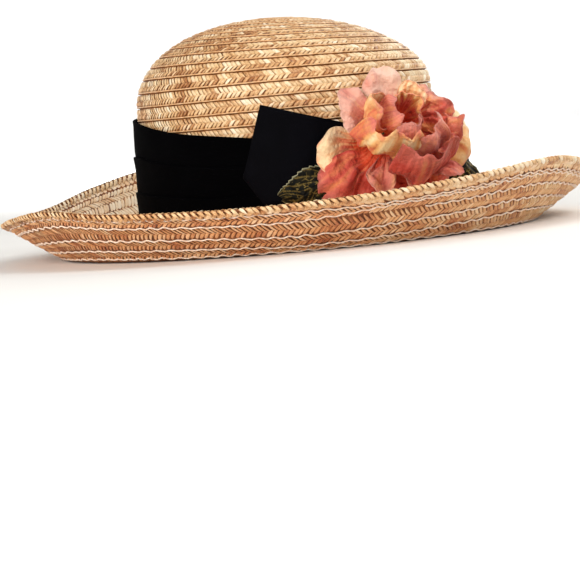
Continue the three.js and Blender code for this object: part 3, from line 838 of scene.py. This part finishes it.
# Each cord's share across the brim is a function of the angle. The spiral cord takes over the outer one's
# waves, and starts and ends at bearings of its own.
CORDS = [
    {"share_at": curve_round(LOWEST_CORD), "seed": 1},
    {"share_at": first_seam, "seed": 2},
    {"share_at": second_seam, "seed": 3},
    {"share_at": spiral_cord, "seed": 5, "waves_of": outer_seam, "start": -17, "end": 400},
    {"share_at": outer_seam, "seed": 5},
]


def cord_length(share_at, start, end):
    """The angles along a cord, and how far one has walked along it at each of them."""
    angles = np.radians(np.linspace(start, end, 721))
    return angles, walked_along(brim_surface(angles, share_at(angles)))


def wavy_cord(number, share_at, seed, waves_of=None, start=0, end=360):
    angles, walked = cord_length(share_at, start, end)
    place = np.linspace(0, walked[-1], round(walked[-1] / CORD_STEP), endpoint=False)
    angle = np.interp(place, walked, angles)
    share = share_at(angle)
    drift = ripple(np.sin(angle) * 60, np.cos(angle) * 60, seed * 9.0, 9.0, seed)
    wave_angles, wave_walked = cord_length(waves_of or share_at, 0, 360)
    waves = round(wave_walked[-1] / WAVE_LENGTH)
    turned = np.interp(angle % (2 * math.pi), wave_angles, wave_walked) / wave_walked[-1]
    phase = 2 * math.pi * waves * turned + WAVE_DRIFT * drift
    step = brim_surface(angle, share + 0.01) - brim_surface(angle, share - 0.01)
    width = np.linalg.norm(step, axis=-1) / 0.02
    swing = WAVE_HEIGHT * (0.75 + 0.5 * drift) * np.sin(phase) + 0.5 * drift
    points = lifted(brim_surface, angle, share + swing / width, np.full_like(angle, CORD_LIFT), 1.0)
    curve = bpy.data.curves.new(f"cord_{number}", "CURVE")
    curve.dimensions = "3D"
    curve.bevel_depth = CORD_RADIUS * MM
    curve.bevel_resolution = 1
    curve.use_fill_caps = True
    line = curve.splines.new("POLY")
    line.points.add(len(points) - 1)
    line.points.foreach_set("co", np.c_[points * MM, np.ones(len(points))].ravel())
    line.use_cyclic_u = end - start == 360
    cord = bpy.data.objects.new(f"cord_{number}", curve)
    bpy.context.collection.objects.link(cord)
    return cord


cords = [wavy_cord(number, **cord) for number, cord in enumerate(CORDS, start=1)]
only(cords[0])
for cord in cords:
    cord.select_set(True)
bpy.ops.object.convert(target="MESH")
bpy.ops.object.join()
seam_cords = named("seam_cords")
seam_cords.data.shade_smooth()
finish_piece(seam_cords, cord_finish.material, "brim_straw")

# %% [markdown]
# The cloth band
# A strip of black cloth goes round the crown in three folds, and the upper edge of each lower fold stands a
# little over the fold above it. One sheet is extruded ring by ring through the folds, and thickened at the
# end. Its upper edge climbs from front to back.

# %% Band sizes
BAND_TOPS = {
    -180: 83.0, -121: 79.4, -104: 75.0, -87: 70.3, -68: 66.5, -52: 63.5,
    0: 61.0, 52: 63.5, 87: 70.3, 121: 79.4,
}
BAND_BOTTOM = 13.8
BAND_CLOTH = 0.5
BAND_FOLDS = 3
TUCK = 0.09  # how far a fold goes down behind its edge, as a share of the band's height
band_top = curve_round(BAND_TOPS)
# One fold: how far up the fold, and how far the cloth stands off the crown in millimetres
FOLD_ROWS = [
    (0.0, 3.5), (0.12, 4.0), (0.35, 3.9), (0.62, 4.0), (0.85, 4.6), (0.97, 5.0), (1.0, 4.8), (0.95, 4.1),
]
TUCKED_STAND = 2.6  # where the cloth goes down behind a fold
LAST_TUCKED_STAND = 2.1
TOP_FOLD_LOWER = 0.9  # how much closer the upper edge of the last fold lies
SWAY_SIZE = 34.0  # how long the uneven places of the folds are, in millimetres
SWAY_UP = 0.035  # as a share of the band's height
SWAY_OUT = 0.22

# %% Band cloth
profile = [(0.25, 2.2), (0.05, 2.3), (0.0, 2.6)]
for fold in range(BAND_FOLDS):
    last_fold = fold == BAND_FOLDS - 1
    for up, stand in FOLD_ROWS:
        lower = TOP_FOLD_LOWER if last_fold and up > 0.8 else 0.0
        profile.append(((fold + up) / BAND_FOLDS, stand - lower))
    profile.append(((fold + 1) / BAND_FOLDS - TUCK, LAST_TUCKED_STAND if last_fold else TUCKED_STAND))
profile = np.array(profile)


def band_surface(angle, up, stand):
    """A point of the cloth, by its share of the band's height and how far it stands off the crown."""
    bearing = np.arctan2(np.sin(angle), np.cos(angle))
    sway = ripple(np.sin(angle) * 90, np.cos(angle) * 90, up * 40.0, SWAY_SIZE, 4)
    edges = np.sin(math.pi * np.clip(up, 0, 1))
    z = mix(BAND_BOTTOM, band_top(bearing), up + SWAY_UP * sway * edges)
    return off_wall(angle, z, stand + SWAY_OUT * sway)


rings = [
    (BASE["half_x"] + stand, BASE["half_y"] + stand, MIDDLE_Y, 1.0 * number)
    for number, (_, stand) in enumerate(profile)]
band_cloth = extruded_rings("band_cloth", rings, SHELL_SIDES)
points = points_of(band_cloth)
ring = np.round(points[:, 2]).astype(int)
angle = np.arctan2(
    points[:, 0] / (BASE["half_x"] + profile[ring, 1]),
    -(points[:, 1] - MIDDLE_Y) / (BASE["half_y"] + profile[ring, 1]))
move_points(band_cloth, band_surface(angle, profile[ring, 0], profile[ring, 1]))
apply_modifier(band_cloth, "SUBSURF", levels=1, render_levels=1)
apply_modifier(band_cloth, "SOLIDIFY", thickness=BAND_CLOTH * MM, offset=0)
only(band_cloth)
bpy.ops.object.shade_smooth()

# %% [markdown]
# Black cloth
# A black cloth shows its weave only where light grazes it, so the colour hardly changes and the bump does
# the work. The ribbon is stiffer, a little smoother, and a little bluer.

# %% Black materials
def black_finish(name, dark, light, roughness, thread, specular):
    finish = Finish(name, roughness=roughness, specular_ior_level=specular)
    weave = finish.noise(finish.scaled(finish.place(), (1.0, 1.0, 3.0)), thread, 2.0)
    cloud = finish.noise(finish.place(), 45.0, 3.0)
    colour = finish.blend((weave * 0.6 + cloud * 0.4).between(0.35, 0.75), dark, light)
    finish.surface(base_color=colour, roughness=roughness + (weave - 0.5) * 0.2)
    finish.surface(normal=finish.bump(weave, 0.0002, 0.6))
    return finish.material


black_cloth = black_finish("black_cloth", rgb(1, 1, 2), rgb(4, 4, 6), 0.9, 1500.0, 0.02)
black_ribbon = black_finish("black_ribbon", rgb(1, 1, 4), rgb(7, 7, 14), 0.7, 1800.0, 0.04)
finish_piece(band_cloth, black_cloth, "black_cloth", "band")

# %% [markdown]
# The ribbon loop
# Beside the flower the ribbon makes one flat loop with a crisp fold at its free end. A grid is bent round
# it: one way of the grid runs along the ribbon, from the root behind, round the fold and back, and the
# other way across it.

# %% Ribbon loop
BOW = {
    "start": -19.0, "end": -60.0, "end_rows": (-1.0, -0.4, 1.0), "end_bearings": (7.0, 0.0, 8.0),
    "back": 6.4, "front": 12.8,
    "root_z": 47.0, "root_half": 18.0, "end_z": 53.6, "end_half": 29.0, "flatness": 1.25,
}
RIBBON = 0.7


def bow_point(along, sideways):
    """A point of the ribbon, by its shares of the way along it and across it."""
    out = 1 - np.abs(2 * along - 1)
    reach = np.sin(out * math.pi / 2)
    end = BOW["end"] + np.interp(sideways, BOW["end_rows"], BOW["end_bearings"])
    bearing = np.radians(mix(BOW["start"], end, reach))
    half = mix(BOW["root_half"], BOW["end_half"], reach)
    z = mix(BOW["root_z"], BOW["end_z"], reach) + sideways * half
    side = np.sign(along - 0.5) * np.minimum(1, np.abs(np.sin(math.pi * (along - 0.5))) * BOW["flatness"])
    stand = (BOW["back"] + BOW["front"]) / 2 + (BOW["front"] - BOW["back"]) / 2 * side
    stand = stand + 0.35 * np.sin(3 * sideways + 5 * out) * out * (along > 0.5)
    return off_wall(bearing, z, stand)


def bent_grid(name, columns, rows, place):
    """A grid primitive, bent by place(along, sideways): along from 0 to 1, sideways from -1 to 1."""
    deselect()
    bpy.ops.mesh.primitive_grid_add(x_subdivisions=columns, y_subdivisions=rows, size=2 * MM, calc_uvs=True)
    piece = named(name)
    flat = points_of(piece)
    move_points(piece, place((flat[:, 1] + 1) / 2, flat[:, 0]))
    piece.data.shade_smooth()
    return piece


ribbon_loop = bent_grid("ribbon_loop", 20, 72, bow_point)
apply_modifier(ribbon_loop, "SOLIDIFY", thickness=RIBBON * MM, offset=0)
finish_piece(ribbon_loop, black_ribbon, "black_ribbon", "bow_loop")

# %% [markdown]
# The place of the rose
# The petals all leave one base point in front of the band. A point of a petal is given like a place on a
# globe: the clock angle round the flower's axis, the tilt away from that axis, and the distance from the
# base point.

# %% Flower frame
BASE_BEARING = math.radians(-9)
BASE_REACH = 111.5
BASE_Z = 59.0
AXIS_BEARING = math.radians(-18)
AXIS_RISE = math.radians(24)
PETAL_START = 9.7
CORE_RADIUS = 9.3
CRUMPLE = 1.5
CRUMPLE_LENGTH = 24.0
CRUMPLE_FROM = 14.0
CRUMPLE_OVER = 20.0
PETAL_TAPER = 0.5
rose_base = np.array([
    BASE_REACH * math.sin(BASE_BEARING), MIDDLE_Y - BASE_REACH * math.cos(BASE_BEARING), BASE_Z])
level = np.array([math.sin(AXIS_BEARING), -math.cos(AXIS_BEARING), 0.0])
upwards = np.array([0.0, 0.0, 1.0])
axis = level * math.cos(AXIS_RISE) + upwards * math.sin(AXIS_RISE)
top = upwards * math.cos(AXIS_RISE) - level * math.sin(AXIS_RISE)
sideways_axis = np.array([math.cos(AXIS_BEARING), math.sin(AXIS_BEARING), 0.0])


def flower_point(clock, tilt, distance):
    """The place of a point of the flower, with the crumple that grows away from the base point."""
    clock, tilt = np.radians(clock)[..., None], np.radians(tilt)[..., None]
    side = top * np.cos(clock) + sideways_axis * np.sin(clock)
    point = rose_base + (side * np.sin(tilt) + axis * np.cos(tilt)) * distance[..., None]
    wave = 2 * math.pi / CRUMPLE_LENGTH
    x, y, z = point[..., 0], point[..., 1], point[..., 2]
    sway = np.stack([
        np.sin(wave * z + 1.3) + 0.6 * np.sin(wave * 1.3 * y),
        np.sin(wave * x + 0.4) + 0.6 * np.sin(wave * 1.2 * z),
        np.sin(wave * y + 2.1) + 0.6 * np.sin(wave * 1.4 * x),
    ], axis=-1)
    return point + sway * (CRUMPLE * smooth((distance - CRUMPLE_FROM) / CRUMPLE_OVER))[..., None]


# %% [markdown]
# Silk
# The silk was dyed by hand, each petal from peach to rose, and it is darker towards its foot, partly in its
# blush and partly as painted shade. Every point of a petal carries a blush from 0 (cream and orange) to 1
# (deep rose), a painted shade that is 1 in the creases and at the foot, and a pale value where the dye is
# dusty, which is raised on the crumple ridges and at the rim as painted highlight. Fine creases are bump,
# and large ones are in the mesh.

# %% Silk material
silk = Finish("petal_silk", roughness=0.6, specular_ior_level=0.25, sheen_weight=0.1, sheen_roughness=0.5)
blush = silk.attribute("blush")
depth = silk.attribute("depth")
pale = silk.attribute("pale")
dye = silk.noise(silk.place(), 110.0, 4.0)
silk_colour = silk.ramp(blush + (dye - 0.5) * 0.5, [
    (0.0, rgb(250, 222, 170)), (0.2, rgb(242, 184, 116)), (0.4, rgb(230, 142, 84)),
    (0.6, rgb(222, 116, 84)), (0.8, rgb(208, 86, 72)), (1.0, rgb(172, 52, 42))])
silk_colour = silk.blend(pale, silk_colour, rgb(244, 202, 182))
# Painted shade: the creases and the foot of each petal turn deep orange-red.
silk_colour = silk.blend(depth.between(0.05, 1.0), silk_colour, rgb(216, 74, 34))
creases = silk.noise(silk.place(), 330.0, 3.0)
crease_side = creases - 0.5
fold_lines = crease_side.maths("ABSOLUTE", crease_side) * 4.0
threads = silk.noise(silk.place(), 2600.0, 1.0)
silk.surface(base_color=silk_colour, roughness=0.55 + (creases - 0.5) * 0.3)
silk.surface(normal=silk.bump(threads * 0.15 - fold_lines, 0.0009, 0.6))

# %% [markdown]
# The petals
# Each petal is a grid bent into its place. Its tilt is given at the foot, half way and at the rim, so it
# can open like a plate or close like a cup. Long folds run from foot to rim, the rim is cut unevenly and may
# roll out, and crumples of three sizes lie over it, sharp where the silk was pinched. In the table clock,
# spread, the three tilts, length, twist and round are the petal's place and outline. red_foot, red_rim and
# turn are its blush at the foot, at the rim, and from its left edge to its right.

# %% Petal table
petals = read_table("""
name       clock spread foot half rim  length twist round red_foot red_rim turn pale folds crush roll
heart_a     -98   62     12   36   12    36     3   0.12   0.85    0.55   0.30  0.1   3   0.6    3
heart_b      35   64     12   30   18    33     5   0.15   0.80    0.25  -0.20  0.0   4   0.8    5
heart_c     160   60     12   38   13    38     5   0.12   0.90    0.80   0.00  0.2   3   0.6    2
fold        -80   44     22   46   24    43     4   0.34   0.50    0.15  -0.60  0.1   3   0.6    5
crest        42   26     28   38   34    33     4   0.20   0.60    0.20   0.30  0.3   4   1.0    6
frill        84   30     28   42   40    41     4   0.25   0.85    0.60  -0.20  0.1   6   1.5   12
ridge      -138   42     28   54   26    50     5   0.10   0.95    0.22   0.25  0.0   5   1.1    4
collar      152   36     28   52   21    50     3   0.15   0.85    0.75  -0.15  0.2   4   0.9    3
bud         112   24     44   62   50    45     2   0.25   0.95    0.80   0.10  0.1   5   1.6    2
lip         170   38     44   75   37    50    -3   0.06   0.95    0.85   0.00  0.0   3   0.75   4
top          -4   32     56   57   60    39     3   0.30   0.60    0.60  -0.60  1.0   1   0.45   4
top_left    -67   30     50   54   57    43     1   0.20   0.60    0.85  -0.50  0.6   1   0.5    4
curl        104   30     60   66   70    50     2   0.25   0.45    0.10   0.20  0.1   3   0.9   18
point       142   17     60   64   62    51     1   0.45   0.85    0.80   0.05  0.1   2   0.7    4
tip         177   14     64   68   64    47     1   0.45   0.90    0.75   0.05  0.3   2   0.7    4
tuck       -153   14     66   72   68    48     1   0.40   0.85    0.75   0.00  0.3   2   0.7    4
left       -104   26     76   86   86    48    -2   0.36   0.45    0.10  -0.80  0.3   1   0.4    5
droop      -132   27     70   80   92    53     3   0.12   0.95    0.90  -0.20  0.0   6   1.0    2
back_right   62   34     72   76   78    41     2   0.25   0.70    0.75   0.10  0.3   5   1.4    8
back_low    158   34     80   84   86    46     2   0.25   0.80    0.80   0.00  0.0   4   0.8    6
""")
print(len(petals), "petals")

# %% Petal shapes
PETAL_ACROSS = 56
PETAL_ALONG = 56
PETAL_CLOTH = 0.4
FOLD_DEPTH = 3.6  # degrees of tilt
RIM_CUT = 0.11
COARSE_CRUMPLE = 2.0
FINE_CRUMPLE = 0.9
SHARP_CRUMPLE = 0.3
VEIN = 0.5
CUT_MARGIN = 1.1  # how much wider the flat cloth is than its area over its length


def pinched(x, y, z, scale, seed):
    """Crumples with sharp ridges, from -1 in the valleys to 1 on the ridges."""
    return 1 - np.abs(ripple(x, y, z, scale, seed)) * 3.6


def petal_points(petal, seed, along, sideways):
    """The points of a petal, and the values that its material reads at each of them."""
    cut = RIM_CUT * petal["crush"] * ripple(sideways * 9, seed * 5.0, 0.0, 4.0, seed)
    tip = petal["length"] * (1 - petal["round"] * np.abs(sideways) ** 2.5 + cut * along**3)
    distance = mix(PETAL_START, tip, along)
    spread = petal["spread"] * mix(PETAL_TAPER, 1, smooth(along))
    clock = petal["clock"] + spread * sideways
    tilt = petal["foot"] * (1 - along) * (1 - 2 * along) + 4 * petal["half"] * along * (1 - along)
    tilt = tilt + petal["rim"] * along * (2 * along - 1) + petal["twist"] * sideways
    fold = pinched(sideways * petal["folds"], along * 1.3, seed * 3.7, 2.6, seed)
    tilt = tilt + FOLD_DEPTH * fold * smooth(along * 1.3)
    tilt = tilt + petal["roll"] * smooth((along - 0.8) / 0.2)
    point = flower_point(clock, tilt, distance)
    x, y, z = point[:, 0], point[:, 1], point[:, 2]
    coarse = pinched(x, y, z, 15.0, seed)
    fine = pinched(x, y, z, 6.5, seed + 40)
    sharp = pinched(x, y, z, 3.0, seed + 80)
    push = COARSE_CRUMPLE * coarse + FINE_CRUMPLE * fine + SHARP_CRUMPLE * sharp
    vein = ripple(sideways * petal["spread"] * 0.4, along * 3.5, seed * 2.3, 1.5, seed + 20)
    push = (push + VEIN * vein) * petal["crush"] * smooth(along * 1.4)
    outward = point - rose_base
    ray = outward / np.linalg.norm(outward, axis=1, keepdims=True)
    lean = np.cross(np.cross(axis, ray), ray)
    lean /= np.maximum(np.linalg.norm(lean, axis=1, keepdims=True), 1e-6)
    # Painted shade, in the valleys of the crumples, folds and veins and towards the foot.
    valley = np.clip(-coarse, 0, 1) * 0.5 + np.clip(-fold, 0, 1) * 0.4 + np.clip(-vein, 0, 1) * 0.8
    depth = np.clip(0.95 * (1 - smooth(along / 0.8)) + 0.7 * valley * (1 - 0.5 * along), 0, 1)
    blush = mix(petal["red_foot"], petal["red_rim"], smooth((along - 0.4) / 0.5))
    # Painted shade: the blush is deeper in the valleys of the folds and veins.
    blush = blush + petal["turn"] * sideways * 0.5 - 0.22 * petal["crush"] * fold - 0.4 * vein
    blush = blush + 0.3 * smooth((along - 0.94) / 0.06) + 0.12 * np.abs(sideways) ** 4
    # Painted highlight: the silk is paler on the crumple ridges and at the rim, besides where the dye is
    # dusty.
    pale = petal["pale"] * smooth(along * 1.5) * (0.75 + 0.25 * coarse)
    pale = pale + 0.15 * smooth((along - 0.84) / 0.16)
    return point - lean * push[:, None], {
        "blush": np.clip(blush, 0, 1), "depth": depth, "pale": np.clip(pale, 0, 1)}


for seed, petal in enumerate(petals, start=1):
    tints = {}

    def place(along, sideways):
        points, found = petal_points(petal, seed, along, sideways)
        tints.update(found)
        return points

    piece = bent_grid("silk_" + petal["name"], PETAL_ACROSS, PETAL_ALONG, place)
    for name, values in tints.items():
        piece.data.attributes.new(name, "FLOAT", "POINT").data.foreach_set("value", values)
    area = sum(face.area for face in piece.data.polygons)
    apply_modifier(piece, "SOLIDIFY", thickness=PETAL_CLOTH * MM, offset=0)
    finish_piece(piece, silk.material, "petal_silk", "petal_" + petal["name"])
    middle, _ = petal_points(petal, seed, np.linspace(0, 1, 60), np.zeros(60))
    long = np.linalg.norm(np.diff(middle, axis=0), axis=1).sum() * MM
    wide = CUT_MARGIN * area / long
    flat = (round(wide, 4), round(long, 4))

# %% [markdown]
# The heart of the flower
# The petals are tied to a small bulb of green cloth. It hardly shows, but it is what holds the flower
# together: a circle extruded into a bulb, flat at the back towards the band.

# %% Flower bulb
CORE_FLAT = 5.3
bulb_rings = [(CORE_RADIUS * 0.02, -CORE_FLAT), (CORE_RADIUS * 0.7, -CORE_FLAT), (CORE_RADIUS * 0.9, -3.4)]
for lift in (-0.15, 0.2, 0.5, 0.8, 1.1, 1.35, 1.55):
    bulb_rings.append((CORE_RADIUS * math.cos(lift) * 0.98, CORE_RADIUS * math.sin(lift) * 0.98))
bulb = extruded_rings("flower_bulb", [(r, r, 0.0, z) for r, z in bulb_rings], 32)
only(bulb)
bpy.ops.object.mode_set(mode="EDIT")
bpy.ops.mesh.select_all(action="SELECT")
bpy.ops.mesh.remove_doubles(threshold=0.0001)
bpy.ops.mesh.edge_face_add()
bpy.ops.object.mode_set(mode="OBJECT")
facing = Vector((math.sin(BASE_BEARING), -math.cos(BASE_BEARING), 0.0))
turn = Vector((0, 0, 1)).rotation_difference(facing).to_matrix().to_4x4()
bulb.data.transform(Matrix.Translation(Vector(rose_base * MM)) @ turn)
bulb.data.shade_smooth()
calyx = Finish("calyx_cloth", roughness=0.8)
calyx_cloud = calyx.noise(calyx.place(), 700.0, 3.0)
calyx.surface(base_color=calyx.blend(calyx_cloud.between(0.3, 0.7), rgb(34, 42, 20), rgb(74, 84, 44)))
calyx.surface(roughness=0.7 + calyx_cloud * 0.2, normal=calyx.bump(calyx_cloud, 0.0004, 0.6))
finish_piece(bulb, calyx.material, "calyx", "rose_core")

# %% [markdown]
# The leaves
# Two stiff leaves of dark green cloth lie under the flower. Their edges are toothed and pale, and gold veins
# are printed on them in a net. The blade is a bent grid like a petal, folded along its midrib, and its side
# ribs are raised. How far a point is from the midrib goes to the material as a value of its own.

# %% Leaf material
leaf_cloth = Finish("leaf_cloth", roughness=0.6, specular_ior_level=0.12)
rib = leaf_cloth.attribute("rib")
edge = leaf_cloth.attribute("edge")
net = leaf_cloth.node(
    "ShaderNodeTexVoronoi", {"feature": "DISTANCE_TO_EDGE"}, {"Vector": leaf_cloth.place(), "Scale": 230.0})
broken = leaf_cloth.noise(leaf_cloth.place(), 330.0, 3.0)
gold = (1 - net.between(0.02, 0.09)) * broken.between(0.48, 0.62)
gold = gold.maths("MAXIMUM", gold, rib * broken.between(0.3, 0.5))
leaf_colour = leaf_cloth.blend(broken.between(0.35, 0.75), rgb(1, 2, 1), rgb(30, 26, 10))
leaf_colour = leaf_cloth.blend(gold, leaf_colour, rgb(126, 106, 56))
leaf_colour = leaf_cloth.blend(edge.between(0.9, 0.98), leaf_colour, rgb(150, 146, 118))
leaf_cloth.surface(base_color=leaf_colour, roughness=0.6 - gold * 0.25, metallic=gold * 0.55)
leaf_cloth.surface(normal=leaf_cloth.bump(gold * 0.6 + broken * 0.4, 0.0006, 0.7))

# %% Leaf shapes
LEAVES = read_table("""
name        clock  swing  tilt  curl  length  half  blade
leaf_left    -133     22    96     6      75    16     30
leaf_right    118      6    92     4      66    14     28
""")
STEM_HALF = 1.6
LEAF_FOLD = 5.0
TEETH = 15
SIDE_RIBS = 6
LEAF_CLOTH = 0.5
LEAF_WAVE = 1.2  # degrees of tilt, like the two below
RIB_RISE = 0.45
MIDRIB_SINK = 0.8


def leaf_points(leaf, along, sideways):
    """The points of a leaf, and how near each one is to a rib and to the edge."""
    distance = mix(PETAL_START, leaf["length"], along)
    blade = np.clip((distance - leaf["blade"]) / (leaf["length"] - leaf["blade"]), 0, 1)
    tooth = (blade * TEETH) % 1.0
    cut = 1 - 0.1 * (1 - tooth) * np.abs(sideways) ** 6
    wide = (leaf["half"] - STEM_HALF) * np.sin(math.pi * blade**0.8) ** 0.8 * cut
    spread = np.degrees((STEM_HALF + wide) / distance)
    clock = leaf["clock"] + leaf["swing"] * along + spread * sideways
    ribs = np.abs(((blade - 0.45 * np.abs(sideways)) * SIDE_RIBS) % 1.0 - 0.5) * 2
    raised = np.clip(1 - ribs * 4, 0, 1) * (blade > 0.05)
    midrib = np.clip(1 - np.abs(sideways) * 14, 0, 1)
    tilt = leaf["tilt"] + leaf["curl"] * along - LEAF_FOLD * (1 - np.abs(sideways)) * blade
    tilt = tilt + LEAF_WAVE * np.sin(blade * SIDE_RIBS * 2 * math.pi) * np.abs(sideways) * blade
    tilt = tilt - RIB_RISE * raised + MIDRIB_SINK * midrib
    return flower_point(clock, tilt, distance), raised, np.abs(sideways) * (blade > 0.03)


for leaf in LEAVES:
    marks = {}

    def place(along, sideways):
        points, marks["rib"], marks["edge"] = leaf_points(leaf, along, sideways)
        return points

    piece = bent_grid("cloth_" + leaf["name"], 36, 120, place)
    for name, values in marks.items():
        piece.data.attributes.new(name, "FLOAT", "POINT").data.foreach_set("value", values)
    area = sum(face.area for face in piece.data.polygons)
    apply_modifier(piece, "SOLIDIFY", thickness=LEAF_CLOTH * MM, offset=0)
    finish_piece(piece, leaf_cloth.material, "leaf_cloth", leaf["name"])
    flat = (2 * leaf["half"] * MM, (leaf["length"] - PETAL_START) * MM)

# %% [markdown]
# The studio
# The hat stands on a pale floor that curves up into the wall all round, like a large dish, so no edge of it
# shows from any side.

# %% Floor
FLOOR_RADIUS = 4.4
WALL_HEIGHT = 1.6
SWEEP_RADIUS = 0.9
SWEEP_STEPS = 12
level_radius = FLOOR_RADIUS - SWEEP_RADIUS
sweep = [(0.001, 0.0), (0.4, 0.0), (level_radius, 0.0)]
for step in range(1, SWEEP_STEPS + 1):
    bend = step / SWEEP_STEPS * math.pi / 2
    sweep.append((level_radius + SWEEP_RADIUS * math.sin(bend), SWEEP_RADIUS * (1 - math.cos(bend))))
sweep.append((FLOOR_RADIUS, WALL_HEIGHT))
floor = extruded_rings("studio_floor", [(r / MM, r / MM, 0.0, z / MM) for r, z in sweep], 96)
floor.data.flip_normals()
floor.data.shade_smooth()
paper = Finish("pale_paper", roughness=0.9, specular_ior_level=0.1)
paper_cloud = paper.noise(paper.place(), 3.0, 2.0)
paper.surface(base_color=paper.blend(paper_cloud.between(0.3, 0.7), rgb(240, 240, 240), rgb(246, 246, 246)))
floor.data.materials.append(paper.material)

# %% [markdown]
# The camera
# The camera stands 40 degrees round from the hat's front, towards its right side, a little above the
# floor, and looks slightly down. Its distance, tilt and lens were fitted until the hat lay in the picture
# as in the photo. Lengths are in millimetres.

# %% Camera
CAMERA_TURN = math.radians(-40)
DISTANCE = 1450.0
EYE_HEIGHT = 81.5
ASIDE = -6.0
YAW = math.radians(-0.16)
PITCH = math.radians(4.45)
ROLL = math.radians(5.35)
FOCAL_PIXELS = 2378.0
PICTURE_SIDE = 580
SENSOR = 36.0
behind = Vector((math.sin(CAMERA_TURN), -math.cos(CAMERA_TURN), 0))
rightwards = Vector((math.cos(CAMERA_TURN), math.sin(CAMERA_TURN), 0))
vertical = Vector((0, 0, 1))
ahead = -behind * math.cos(YAW) + rightwards * math.sin(YAW)
right_yawed = rightwards * math.cos(YAW) + behind * math.sin(YAW)
ahead_down = ahead * math.cos(PITCH) - vertical * math.sin(PITCH)
up_pitched = vertical * math.cos(PITCH) + ahead * math.sin(PITCH)
picture_right = right_yawed * math.cos(ROLL) - up_pitched * math.sin(ROLL)
picture_up = up_pitched * math.cos(ROLL) + right_yawed * math.sin(ROLL)
camera_data = bpy.data.cameras.new("camera")
camera_data.sensor_width = SENSOR
camera_data.lens = FOCAL_PIXELS * SENSOR / PICTURE_SIDE
camera_data.clip_start = 0.05
camera = bpy.data.objects.new("camera", camera_data)
bpy.context.collection.objects.link(camera)
turn = Matrix((picture_right, picture_up, -ahead_down)).transposed().to_4x4()
place = (behind * DISTANCE + vertical * EYE_HEIGHT + rightwards * ASIDE) * MM
camera.matrix_world = Matrix.Translation(place) @ turn
bpy.context.scene.camera = camera
print("lens", round(camera_data.lens, 1), "mm")

# %% [markdown]
# The lights
# All lamps are large squares, which make soft shadows. Each stands at a bearing, counted from the front,
# with its height and distance in metres. It looks at the hat, or at a point beside the hat, aim_distance
# away on the same bearing.

# %% Lights
LIGHTS = read_table("""
name      bearing  height  distance  size  power  red  green  blue  aim_distance
key             8    1.10      1.3    0.6   12.2  1.0   0.98  0.94           0.0
fill          -80    0.60      1.5    1.0   19.0  1.0   0.95  0.87           0.0
back           99    1.05      1.4    1.0   12.0  1.0   0.95  0.84           0.0
overhead        0    2.00      0.1    1.8    3.0  1.0   1.00  1.00           0.0
backdrop      140    1.60      1.6    1.4   60.0  1.0   1.00  1.00           4.2
""")
AIM_HEIGHT = 0.06
for light in LIGHTS:
    data = bpy.data.lights.new(light["name"], "AREA")
    data.shape = "SQUARE"
    data.size = light["size"]
    data.energy = light["power"]
    data.color = (light["red"], light["green"], light["blue"])
    lamp = bpy.data.objects.new(light["name"], data)
    bpy.context.collection.objects.link(lamp)
    bearing = math.radians(light["bearing"])
    away = Vector((math.sin(bearing), -math.cos(bearing), 0))
    spot = away * light["distance"] + vertical * light["height"]
    aim = away * light["aim_distance"] + vertical * AIM_HEIGHT - spot
    lamp.matrix_world = Matrix.Translation(spot) @ aim.to_track_quat("-Z", "Y").to_matrix().to_4x4()
world = bpy.data.worlds.new("studio")
world.use_nodes = True
world.node_tree.nodes["Background"].inputs["Color"].default_value = (1, 1, 1, 1)
world.node_tree.nodes["Background"].inputs["Strength"].default_value = 0.33
bpy.context.scene.world = world
bpy.context.scene.view_settings.view_transform = "Standard"
